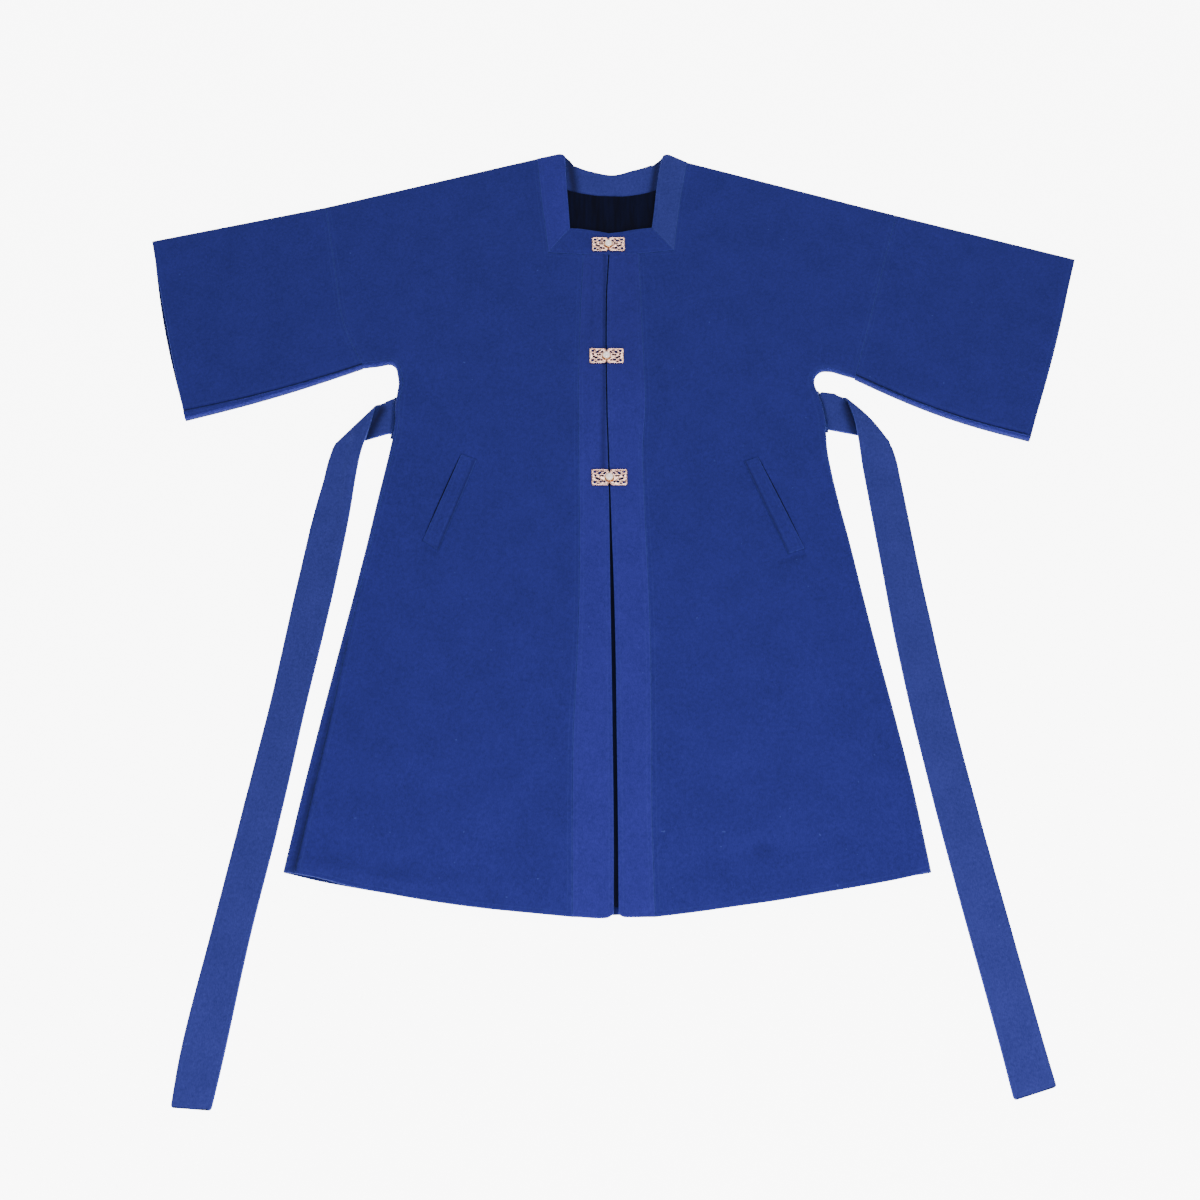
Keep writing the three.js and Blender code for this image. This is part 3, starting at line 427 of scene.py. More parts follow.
def front_z(x: np.ndarray, y: np.ndarray) -> np.ndarray:
    """Level of the fronts, with their folds."""
    return FRONT_LEVEL + FRONT_RISE * over_belt(x, y) + bells(x, y, FOLDS) + swell(x, y)


def band_z(x: np.ndarray, y: np.ndarray) -> np.ndarray:
    """Level of the collar and front bands."""
    return BAND_LEVEL + FRONT_RISE * over_belt(x, y)


def lifted(plan: np.ndarray, level: Level) -> np.ndarray:
    """A flat grid with the height that a level gives at each point."""
    return np.dstack([plan, level(plan[..., 0], plan[..., 1])])


def flanged(line: np.ndarray, outward: np.ndarray, start: Level, end: Level,
            width: np.ndarray) -> np.ndarray:
    """Half turn from a line at one level to the same line at another, then a flat flange.

    The turn bulges outward by ROLL times the sine of its angle, and its height runs between
    the levels with the cosine.

    Args:
        line: flat points of the edge.
        outward: unit directions out of the panel at each.
        start, end: levels before and after the turn.
        width: flange width at each point.

    Returns:
        Points by row and column, the first row on the line.
    """
    angle = np.linspace(0, np.pi, ROLL_STEPS + 1)[:, None]
    low, high = start(line[:, 0], line[:, 1]), end(line[:, 0], line[:, 1])
    flat = line[None] + outward[None] * (ROLL * np.sin(angle))[..., None]
    z = (low + high) / 2 + (low - high) / 2 * np.cos(angle)
    turn = np.dstack([flat, z])
    inside = line - outward * np.asarray(width)[:, None]
    foot = np.dstack([inside[None], end(inside[:, 0], inside[:, 1])[None]])
    return np.vstack([turn, foot])


@dataclass
class Skin:
    """Points and faces of one closed mesh, in millimetres."""

    points: np.ndarray
    faces: list[np.ndarray]
    area: float = 0.0
    edge: np.ndarray | None = None
    shade: np.ndarray | None = None

    def outward(self) -> "Skin":
        """The same skin with its faces turned out, told by its volume."""
        volume = 0.0
        for quads in self.faces:
            a, b, c = (self.points[quads[:, k]] for k in range(3))
            volume += np.einsum("ij,ij->i", a, np.cross(b, c)).sum()
            if quads.shape[1] == 4:
                d = self.points[quads[:, 3]]
                volume += np.einsum("ij,ij->i", a, np.cross(c, d)).sum()
        if volume < 0:
            self.faces = [quads[:, ::-1] for quads in self.faces]
        return self


def nearest(points: np.ndarray, start: np.ndarray, end: np.ndarray) -> np.ndarray:
    """Distance of each point from the nearest of the segments from start to end."""
    along = end - start
    square = np.maximum(np.einsum("ij,ij->i", along, along), 1e-12)
    parts = np.array_split(points, max(1, len(points) // 500))
    found = []
    for part in parts:
        gap = part[:, None] - start[None]
        t = np.clip(np.einsum("ijk,jk->ij", gap, along) / square, 0, 1)
        found.append(np.linalg.norm(gap - t[..., None] * along, axis=-1).min(axis=1))
    return np.concatenate(found)


def shell(grids: Sequence[np.ndarray], thickness: float, rim: Points = FLUSH) -> Skin:
    """Closes a wall of cloth round grids of middle points that share edges.

    Each point moves half the thickness to both sides along the surface's normal. A point of
    the border first moves in by the rim's reach, and the rim between the two sides follows
    its profile, so the border stays where the grids put it.

    Args:
        grids: middle points, each by row and column.
        thickness: the wall's thickness.
        rim: the edge's profile, FLUSH or ROUND.

    Returns:
        The closed skin, with the area of its middle and each point's distance from the edge.
    """
    everything = np.vstack([grid.reshape(-1, 3) for grid in grids])
    _, first, ids = np.unique(np.round(everything / WELD).astype(np.int64), axis=0,
                              return_index=True, return_inverse=True)
    ids = ids.reshape(-1)
    middle = everything[first]
    count = len(middle)
    quads = np.empty((0, 4), np.int64)
    edges = np.empty(0, np.int64)
    at = 0
    for grid in grids:
        own_ids = ids[at:at + grid.shape[0] * grid.shape[1]].reshape(grid.shape[:2])
        at += own_ids.size
        own = np.stack([own_ids[:-1, :-1], own_ids[1:, :-1], own_ids[1:, 1:], own_ids[:-1, 1:]],
                       axis=-1).reshape(-1, 4)
        codes = (own * count + np.roll(own, -1, axis=1)).reshape(-1)
        if np.isin(codes, edges).any():
            own = own[:, ::-1]
            codes = (own * count + np.roll(own, -1, axis=1)).reshape(-1)
        edges = np.concatenate([edges, codes])
        quads = np.vstack([quads, own])
    a, b, c, d = (middle[quads[:, k]] for k in range(4))
    face = np.cross(c - a, d - b)
    area = float(np.linalg.norm(face, axis=1).sum() / 2)
    normal = np.zeros_like(middle)
    for k in range(4):
        np.add.at(normal, quads[:, k], unit(face))
    normal = unit(normal)
    start, end = edges // count, edges % count
    free = ~np.isin(edges, end * count + start)
    start, end = start[free], end[free]
    side = unit(np.cross(middle[end] - middle[start], normal[start] + normal[end]))
    out = np.zeros_like(middle)
    np.add.at(out, start, side)
    np.add.at(out, end, side)
    border = np.unique(start)
    half = thickness / 2
    reach = np.zeros(count)
    reach[border] = ((half if rim is ROUND else FLUSH_REACH)
                     / np.clip(np.linalg.norm(out[border], axis=1) / 2, MITRE, 1))
    out = unit(out) * reach[:, None]
    base = middle - out
    lift = normal * half
    layers = [base + lift, base - lift]
    number = np.full(count, -1)
    number[border] = np.arange(len(border))
    for share, height in rim[1:-1]:
        layers.append((base + out * share + lift * height)[border])
    last = len(rim) - 1
    offsets = [0] + [2 * count + k * len(border) for k in range(last - 1)] + [count]
    inside = nearest(base, middle[start], middle[end])
    rims = [inside[border] * (1 - share) for share, _ in rim[1:-1]]

    def ring(k: int, which: np.ndarray) -> np.ndarray:
        """Numbers of points on one ring of the rim, for points of the middle."""
        if k in (0, last):
            return offsets[k] + which
        return offsets[k] + number[which]

    faces = [quads, quads[:, ::-1] + count]
    for k in range(last):
        faces.append(np.stack([ring(k, end), ring(k, start), ring(k + 1, start),
                               ring(k + 1, end)], axis=-1))
    edge = np.concatenate([inside, inside, *rims])
    return Skin(np.vstack(layers), [np.vstack(faces)], area, edge).outward()


def linked(name: str, data: bpy.types.ID) -> Object:
    """A new object of some data, linked to the scene."""
    obj = bpy.data.objects.new(name, data)
    bpy.context.scene.collection.objects.link(obj)
    return obj


def make_object(name: str, skin: Skin, material: Material) -> Object:
    """Puts a skin into a new object at the origin, smooth-shaded.

    Args:
        name: the object's name.
        skin: points in millimetres, and faces.
        material: its finish.

    Returns:
        The object, linked to the scene.
    """
    mesh = bpy.data.meshes.new(name)
    faces = [row for block in skin.faces for row in block.tolist()]
    mesh.from_pydata((skin.points * MM).tolist(), [], faces)
    mesh.polygons.foreach_set("use_smooth", np.ones(len(mesh.polygons), bool))
    mesh.update()
    for label, values in (("edge", skin.edge), ("shade", skin.shade)):
        if values is not None:
            mesh.attributes.new(label, "FLOAT", "POINT").data.foreach_set("value", values)
    mesh.materials.append(material)
    LOG.info("%s: %d faces", name, len(mesh.polygons))
    return linked(name, mesh)


class Nodes:
    """A short way to build a material's nodes."""

    def __init__(self, name: str) -> None:
        """Starts a material with its shader and Object coordinates."""
        self.material = bpy.data.materials.new(name)
        self.material.use_nodes = True
        self.tree = self.material.node_tree
        self.shader = self.tree.nodes["Principled BSDF"]
        self.place = self.tree.nodes.new("ShaderNodeTexCoord").outputs["Object"]

    def node(self, kind: str, **values: object) -> bpy.types.Node:
        """A new node with attributes and, for names of inputs, values or links."""
        made = self.tree.nodes.new(kind)
        for name, value in values.items():
            if hasattr(made, name) and name not in made.inputs:
                setattr(made, name, value)
            else:
                self.plug(made.inputs[name.replace("_", " ")], value)
        return made

    def plug(self, socket: Socket, value: object) -> None:
        """Links an output to a socket, or sets the socket's own value."""
        if isinstance(value, Socket):
            self.tree.links.new(value, socket)
        else:
            socket.default_value = value

    def own(self, values: dict[str, object]) -> None:
        """Plugs values or links into the shader, with colours made solid."""
        for name, value in values.items():
            self.plug(self.shader.inputs[name],
                      (*value, 1) if isinstance(value, tuple) else value)

    def noise(self, scale: float, detail: float = 4, rough: float = 0.6,
              place: Socket | None = None) -> Socket:
        """Noise of a scale per metre, from Object coordinates unless another place is given."""
        made = self.node("ShaderNodeTexNoise", Vector=place or self.place, Scale=scale,
                         Detail=detail, Roughness=rough)
        return made.outputs["Fac"]

    def carried(self, label: str) -> Socket:
        """A value that the piece's own points carry."""
        return self.node("ShaderNodeAttribute", attribute_name=label).outputs["Fac"]

    def upward(self, vector: Socket) -> Socket:
        """The Z of a vector."""
        return self.node("ShaderNodeSeparateXYZ", Vector=vector).outputs["Z"]

    def stretched(self, scale: Sequence[float], turn: float = 0.0) -> Socket:
        """Object coordinates turned about Z and scaled."""
        made = self.node("ShaderNodeMapping", Vector=self.place)
        made.inputs["Rotation"].default_value = (0, 0, turn)
        made.inputs["Scale"].default_value = tuple(scale)
        return made.outputs["Vector"]

    def step(self, kind: str, inputs: Sequence[object], **values: object) -> Socket:
        """The first output of a new node whose inputs are given in their order."""
        made = self.node(kind, **values)
        for socket, value in zip(made.inputs, inputs):
            self.plug(socket, value)
        return made.outputs[0]

    def math(self, kind: str, a: object, b: object = 0.0, c: object = 0.0) -> Socket:
        """One step of arithmetic on sockets or numbers."""
        return self.step("ShaderNodeMath", (a, b, c), operation=kind)

    def spread(self, value: Socket, low: float, high: float,
               to_low: float, to_high: float) -> Socket:
        """A value carried from one range to another, and held inside it."""
        return self.step("ShaderNodeMapRange", (value, low, high, to_low, to_high))

    def tint(self, share: Socket, a: Sequence[float],
             b: Sequence[float]) -> Socket:
        """Colour between a and b by a share."""
        made = self.tree.nodes.new("ShaderNodeMix")
        made.data_type = "RGBA"
        self.plug(made.inputs["Factor"], share)
        for name, value in (("A", a), ("B", b)):
            socket = next(s for s in made.inputs if s.name == name and s.type == "RGBA")
            self.plug(socket, value if isinstance(value, Socket) else (*value, 1))
        return next(s for s in made.outputs if s.type == "RGBA")

    def bump(self, height: Socket, distance: float, strength: float = 1.0,
             under: Socket | None = None) -> Socket:
        """Normal of a bump of a real depth, in metres, on top of another."""
        made = self.node("ShaderNodeBump", Height=height, Strength=strength, Distance=distance)
        if under is not None:
            self.plug(made.inputs["Normal"], under)
        return made.outputs["Normal"]


def from_screen(red: int, green: int, blue: int) -> Colour:
    """Linear colour of a screen colour of 0 to 255."""
    shares = np.array([red, green, blue]) / 255
    linear = np.where(shares <= 0.04045, shares / 12.92, ((shares + 0.055) / 1.055) ** 2.4)
    return tuple(float(v) for v in linear)


@dataclass(frozen=True)
class Finish:
    """A material, which each kind of finish paints in its own way."""

    def make(self, name: str) -> Material:
        """The finish as a new material.

        Args:
            name: the material's name.

        Returns:
            The material.
        """
        n = Nodes(name)
        self.paint(n)
        return n.material

    def paint(self, n: Nodes) -> None:
        """Sets the material's shader."""
        raise NotImplementedError


@dataclass(frozen=True)
class WoolFinish(Finish):
    """Matt navy wool coating with a short felted nap."""

    low: Colour = from_screen(34, 36, 111)
    high: Colour = from_screen(49, 50, 148)
    # A lighter second tone: the colour of rubbed edges and lint, and of painted highlights along
    # the edges and seams.
    second_tone: Colour = from_screen(84, 98, 196)
    # The colour that painted shade darkens the wool toward.
    shade_colour: Colour = from_screen(9, 10, 42)
    fuzz: Colour = from_screen(120, 150, 215)
    fuzz_weight: float = 0.18
    # Depths of painted shade low down and on steep sides, then shares of painted highlight along
    # the edges and on a line 5.2 mm in from them.
    low_shade_share: float = 0.55
    steep_shade_share: float = 0.82
    edge_highlight_share: float = 0.2
    seam_line_share: float = 0.07

    def paint(self, n: Nodes) -> None:
        """Mottled nap: noise at four scales for colour, and at three for height.

        Args:
            n: the material's nodes.
        """
        fibre = n.noise(2600, 3, 0.7)
        lean = n.noise(900, 4, 0.65, n.stretched((1.0, 0.45, 1.0), 0.5))
        tuft = n.noise(260, 5, 0.6)
        cloud = n.noise(24, 3, 0.5)
        mixed = n.math("ADD", n.math("MULTIPLY", lean, 0.5), n.math("MULTIPLY", tuft, 0.34))
        mixed = n.math("ADD", mixed, n.math("MULTIPLY", cloud, 0.16))
        colour = n.tint(n.spread(mixed, 0.36, 0.66, 0, 1), self.low, self.high)
        # Painted highlight, partly wear: lighter along every edge, broken up by the tufts.
        rubbed_and_lit_edge = n.math("MULTIPLY", n.spread(n.carried("edge"), 0.3, 1.7, self.edge_highlight_share, 0),
                        n.spread(tuft, 0.3, 0.7, 0.5, 1.2))
        # Painted highlight on a line 5.2 mm in from each edge, where a seam's bulge would catch the
        # light.
        off_line = n.math("ABSOLUTE", n.math("SUBTRACT", n.carried("edge"), 5.2))
        seam_line_highlight = n.spread(off_line, 0, 1.1, self.seam_line_share, 0)
        lint = n.spread(n.noise(190, 1, 0.4), 0.8, 0.83, 0, 0.4)
        light = n.math("MAXIMUM", n.math("MAXIMUM", rubbed_and_lit_edge, seam_line_highlight), lint)
        # Painted shade: darker low down by the floor and on steep sides, but not on faces turned
        # down; the piece's own lines of painted shade join it.
        facing = n.upward(n.node("ShaderNodeNewGeometry").outputs["Normal"])
        low_and_steep_shade = n.math("MULTIPLY", n.math(
            "MAXIMUM", n.spread(n.upward(n.place), 0.003, 0.0076, self.low_shade_share, 0),
            n.spread(facing, 0.15, 0.85, self.steep_shade_share, 0)),
            n.spread(facing, -0.6, -0.3, 0, 1))
        shade = n.math("MAXIMUM", n.carried("shade"), low_and_steep_shade)
        under = n.bump(lean, 0.0009, 0.5, n.bump(tuft, 0.0016, 0.35))
        n.own({"Base Color": n.tint(shade, n.tint(light, colour, self.second_tone), self.shade_colour),
               "Roughness": 0.95, "Specular IOR Level": 0.18,
               "Sheen Weight": self.fuzz_weight, "Sheen Roughness": 0.6,
               "Sheen Tint": self.fuzz, "Normal": n.bump(fibre, 0.0004, 0.5, under)})


@dataclass(frozen=True)
class LiningFinish(Finish):
    """Smooth, closely woven dark lining with a faint sheen."""

    colour: Colour = from_screen(2, 5, 30)
    light: Colour = from_screen(6, 11, 46)

    def paint(self, n: Nodes) -> None:
        """Fine twill: two sets of fine waves, crossed, with soft streaks.

        Args:
            n: the material's nodes.
        """
        weave = n.node("ShaderNodeTexWave", Vector=n.stretched((1, 1, 1), 0.9), Scale=1500.0,
                       Distortion=0.4)
        streak = n.noise(60, 3, 0.5, n.stretched((3.0, 0.3, 1.0)))
        n.own({"Base Color": n.tint(n.spread(streak, 0.35, 0.65, 0, 1), self.colour, self.light),
               "Roughness": 0.7, "Specular IOR Level": 0.12,
               "Normal": n.bump(weave.outputs["Fac"], 0.00012, 0.5)})


@dataclass(frozen=True)
class PlateFinish(Finish):
    """Pale rose-gold plating, polished and a little uneven."""

    colour: Colour = from_screen(255, 214, 198)
    second_tone: Colour = from_screen(232, 176, 154)

    def paint(self, n: Nodes) -> None:
        """Metal with small dents and slightly duller patches.

        Args:
            n: the material's nodes.
        """
        patch = n.noise(320, 4, 0.6)
        n.own({"Base Color": n.tint(n.spread(patch, 0.35, 0.7, 0, 1), self.colour, self.second_tone),
               "Metallic": 1.0, "Roughness": n.spread(patch, 0.3, 0.7, 0.2, 0.34),
               "Normal": n.bump(n.noise(430, 3), 0.0004, 0.7)})


@dataclass(frozen=True)
class PearlFinish(Finish):
    """White pearl, pinkish under its clear gloss, with a weak painted glow."""

    colour: Colour = from_screen(255, 246, 240)
    blush_and_glow: Colour = from_screen(252, 230, 226)

    def paint(self, n: Nodes) -> None:
        """Cloudy white under a clear coat, with a weak painted glow of pink.

        Args:
            n: the material's nodes.
        """
        cloud = n.noise(420, 2, 0.5)
        # Painted light: the pearl glows a little in its blush colour, though it is no lamp.
        n.own({"Base Color": n.tint(n.spread(cloud, 0.35, 0.65, 0, 1), self.colour, self.blush_and_glow),
               "Roughness": 0.25, "Coat Weight": 1.0, "Coat Roughness": 0.14, "Coat IOR": 2.2,
               "Emission Color": self.blush_and_glow, "Emission Strength": 0.8,
               "Normal": n.bump(cloud, 0.0001, 0.2)})


def made(name: str, finish: Finish) -> Material:
    """A dataclass field for a finish's material."""
    return field(default_factory=lambda: finish.make(name))


@dataclass
class Finishes:
    """The jacket's materials, made once."""

    wool: Material = made("navy_wool", WoolFinish())
    # Painted light: a lighter copy of the wool for the plackets and the wearer's right collar band,
    # as if they caught more light.
    band: Material = made("navy_wool_band_lit", WoolFinish(
        low=from_screen(40, 41, 124), high=from_screen(57, 56, 164)))
    # Painted light: a lighter copy again, with less painted shade, for the wearer's left collar
    # band, the neck band and the belt.
    lit_wool: Material = made("navy_wool_lit", WoolFinish(
        low=from_screen(43, 47, 122), high=from_screen(62, 66, 158), low_shade_share=0.0,
        steep_shade_share=0.62))
    cross: Material = made("navy_wool_cross", WoolFinish(
        low=from_screen(35, 36, 112), high=from_screen(49, 50, 150)))
    lining: Material = made("dark_lining", LiningFinish())
    plate: Material = made("rose_gold", PlateFinish())
    bezel: Material = made("bezel_gold", PlateFinish(
        colour=from_screen(240, 196, 138), second_tone=from_screen(214, 160, 102)))
    pearl: Material = made("pearl", PearlFinish())


@dataclass
class Cut:
    """What is said of a cloth piece: its cut, what it lies on and the node it stands for."""

    node: str
    flat: Size
    rests_on: tuple[str, ...]
    hold: Hold = Hold.LAID
    slot: str = "wool"


def dress(cut: Cut, skin: Skin, material: Material,
          shades: Points = ()) -> Object:
    """Args:
        cut: what is said of the piece.
        skin: its closed skin.
        material: its finish.
        shades: lines of shade on it beyond those in the table.

    Returns:
        The piece.
    """
    skin.points[:, 2] = np.maximum(skin.points[:, 2], 0)
    x, y, z = skin.points.T
    low = np.clip(SHADE_BELOW.get(cut.node, math.inf) - z, 0, 1)
    rows = [*SHADES.get(cut.node, ()), *shades, *(UNDER_CLASPS if cut.node in CLASPED else ())]
    skin.shade = np.max([np.zeros(len(x)), *(bells(x, y, [row]) for row in rows)], axis=0) * low
    obj = make_object(f"{cut.node}_cloth", skin, material)
    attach(obj, "root")
    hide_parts(cut.node)
    return obj


@dataclass
class Outline:
    """One side's edge below the armhole, with what the panels share there."""

    side: Side

    def armhole(self, counts: Sequence[int]) -> np.ndarray:
        """The armhole seam from the shoulder down.

        Args:
            counts: steps for each of its ARMHOLE_STEPS stretches.

        Returns:
            Flat points.
        """
        control = rows_of(ARMHOLE[self.side])
        at = stations(counts) / ARMHOLE_STEPS * (len(control) - 1)
        index = np.minimum(at.astype(int), len(control) - 2)
        t = (at - index)[:, None]
        last = len(control) - 1
        before, start = control[np.maximum(index - 1, 0)], control[index]
        end, after = control[index + 1], control[np.minimum(index + 2, last)]
        v0, v1 = (end - before) / 2, (after - start) / 2
        return ((2 * start - 2 * end + v0 + v1) * t**3
                + (-3 * start + 3 * end - 2 * v0 - v1) * t**2 + v0 * t + start)

    def rough_armhole(self) -> np.ndarray:
        """The armhole's points at its own steps."""
        return self.armhole([1] * ARMHOLE_STEPS)

    def sleeve_across(self) -> np.ndarray:
        """Direction across the sleeve at the armhole, from its lower edge to its top."""
        control = rows_of(ARMHOLE[self.side])
        return unit(control[0] - control[-1])

    def points(self) -> np.ndarray:
        """The outline's points."""
        return rows_of(OUTLINE[self.side])

    def strips(self) -> np.ndarray:
        """How far the back reaches past its rolled edge at each point."""
        wide = STRIPS[self.side]
        return np.array([FLANGE] * (len(OUTLINE[self.side]) - len(wide)) + list(wide))

    def inward(self) -> np.ndarray:
        """Unit normals into the body, the first along the sleeve's edge."""
        p = self.points()
        padded = np.vstack([p[:1], p, p[-1:]])
        along = unit(padded[2:] - padded[:-2])
        turned = np.stack([-along[:, 1], along[:, 0]], axis=1)
        normals = turned if self.side is Side.RIGHT else -turned
        normals[0] = self.sleeve_across()
        return normals

    def inset(self, extra: np.ndarray) -> np.ndarray:
        """The line where the rolled edge starts, moved in by extra."""
        return self.points() + self.inward() * (EDGE + extra)[:, None]

    def shoulder_outward(self) -> np.ndarray:
        """Unit direction out of the shoulder's edge."""
        along = unit(rows_of(COLLAR[self.side]["outer"][0]) - self.rough_armhole()[0])
        return square_to(along, (0, 1))


@dataclass
class Front:
    """One front panel, rolled over the shoulder, and on the left under the side."""

    side: Side
    finishes: Finishes
    flat: Size = (340.0, 1080.0)

    def build(self) -> Object:
        """Patch between armhole and side, collar and band, shoulder and hem, then its rolls.

        Returns:
            The panel.
        """
        side, edge = self.side, Outline(self.side)
        sign = side.sign
        gapped = side is Side.RIGHT
        strips = edge.strips()
        extra = strips + SEAM_GAP if gapped else np.zeros(len(strips))
        line = edge.inset(extra)
        line[0] = edge.rough_armhole()[-1] + (-sign * SEAM_GAP * SLANT, extra[0])
        arm = edge.rough_armhole() + (-sign * SEAM_GAP * SLANT, 0)
        collar = rows_of(COLLAR[side]["outer"]) + (sign * SEAM_GAP, 0)
        collar[-1, 1] -= SEAM_GAP
        band = band_seam(side, SEAM_GAP)
        outer = np.vstack([arm[:-1], line])
        inner = np.vstack([collar, band])
        rows = steps_for([outer, inner], CLOTH_STEP)
        split = ARMHOLE_STEPS
        corner = len(collar)
        left = np.vstack([
            edge.armhole(rows[:split])[:-1] + (-sign * SEAM_GAP * SLANT, 0),
            refine(line, rows[split:]),
        ])
        right = np.vstack([
            refine(collar, rows[:corner - 1])[:-1],
            refine(inner[corner - 1:corner + 1], rows[corner - 1:corner])[:-1],
            refine(band, rows[corner:]),
        ])
        hem = np.vstack([line[-1:], HEM[side], band[-1:]])
        top = np.linspace(outer[0], inner[0], len(hem))
        columns = steps_for([hem, top], CLOTH_STEP)
        v = stations(rows) / (len(outer) - 1)
        u = stations(columns) / (len(hem) - 1)
        grid = coons(left, right, refine(top, columns), refine(hem, columns), v, u)
        main = lifted(grid, front_z)
        outward = np.tile(edge.shoulder_outward(), (grid.shape[1], 1))
        grids = [main, flanged(grid[0], outward, front_z, back_z,
                               np.full(grid.shape[1], FLANGE))]
        if not gapped:
            start = sum(rows[:split])
            away = unit(graded(-edge.inward(), rows[split:]))
            grids.append(flanged(grid[start:, 0], away, front_z, back_z,
                                 graded(strips, rows[split:])))
        cut = Cut(f"front_{side.value}", self.flat, ("back_panel", "belt"))
        return dress(cut, shell(grids, WALL), self.finishes.wool)


@dataclass
class Back:
    """The back panel, whose edge on the wearer's right rolls up and over to the side seam."""

    finishes: Finishes
    flat: Size = (760.0, 1080.0)
    shoulder_points: int = 6

    def build(self) -> Object:
        """Patch between both sides, shoulders with neck, and hem, then the right roll.

        Returns:
            The panel.
        """
        right, left = Outline(Side.RIGHT), Outline(Side.LEFT)
        drop = (FLANGE + SEAM_GAP) * SLANT
        arm_right = right.rough_armhole() + (SEAM_GAP * SLANT, 0)
        arm_left = left.rough_armhole() + (-SEAM_GAP * SLANT, 0)
        arm_right[0] += unit(arm_right[1] - arm_right[0]) * drop
        arm_left[0] += unit(arm_left[1] - arm_left[0]) * drop
        arm_left[-1] += unit(arm_left[-2] - arm_left[-1]) * drop
        line_right = right.inset(np.zeros(len(right.strips())))
        line_left = left.inset(np.full(len(left.strips()), FLANGE + SEAM_GAP))
        line_right[0], line_left[0] = arm_right[-1], arm_left[-1]
        rows = steps_for([np.vstack([arm_right, line_right[1:]]),
                          np.vstack([arm_left, line_left[1:]])], HIDDEN_STEP)
        split = ARMHOLE_STEPS
        one = np.vstack([refine(arm_right, rows[:split])[:-1], refine(line_right, rows[split:])])
        two = np.vstack([refine(arm_left, rows[:split])[:-1], refine(line_left, rows[split:])])
        neck = rows_of(NECK_SEWN) + (0, -SEAM_GAP)
        top = np.vstack([np.linspace(one[0], neck[0], self.shoulder_points)[:-1], neck,
                         np.linspace(neck[-1], two[0], self.shoulder_points)[1:]])
        hem_rough = np.vstack([one[-1:], HEM_BACK, two[-1:]])
        length = lengths(hem_rough)
        hem = read_at(np.linspace(0, length[-1], len(top)), length, hem_rough)
        columns = steps_for([hem, top], HIDDEN_STEP)
        v = stations(rows) / len(rows)
        u = stations(columns) / (len(top) - 1)
        grid = coons(one, two, refine(top, columns), refine(hem, columns), v, u)
        bow = np.interp(stations(rows), np.arange(len(UNDERARM_BOW)), UNDERARM_BOW, right=0)
        grid[:, 1:-1, 1] += bow[:, None]
        main = lifted(grid, back_z)
        start = sum(rows[:split])
        away = unit(graded(-right.inward(), rows[split:]))
        roll = flanged(grid[start:, 0], away, back_z, front_z, graded(right.strips(), rows[split:]))
        cut = Cut("back_panel", self.flat, ("belt",))
        return dress(cut, shell([main, roll], WALL), self.finishes.wool)


@dataclass
class Lining:
    """The back's lining, which shows in the neck and down the open front."""

    finishes: Finishes
    flat: Size = (170.0, 1010.0)
    taper: float = 0.8
    short: float = 8.0

    def build(self) -> Object:
        """Patch from the neck seam to short of the hem, with its centre pleat.

        Returns:
            The lining.
        """
        top = rows_of(NECK_SEWN[1:-1]) + (0, -2 * SEAM_GAP)
        hem_y = min(row[1] for row in HEM_BACK) + self.short
        hem = np.stack([top[:, 0] * self.taper, np.full(len(top), hem_y)], axis=1)
        columns = steps_for([top], BAND_STEP)
        rows = [int(np.ptp([top[0, 1], hem_y]) / HIDDEN_STEP)]
        v = stations(rows)
        u = stations(columns) / (len(top) - 1)
        grid = coons(refine([top[0], hem[0]], rows), refine([top[-1], hem[-1]], rows),
                     refine(top, columns), refine(hem, columns), v, u)
        cut = Cut("lining_back", self.flat, ("back_panel",), slot="lining")
        return dress(cut, shell([lifted(grid, lining_z)], LINING_WALL), self.finishes.lining)


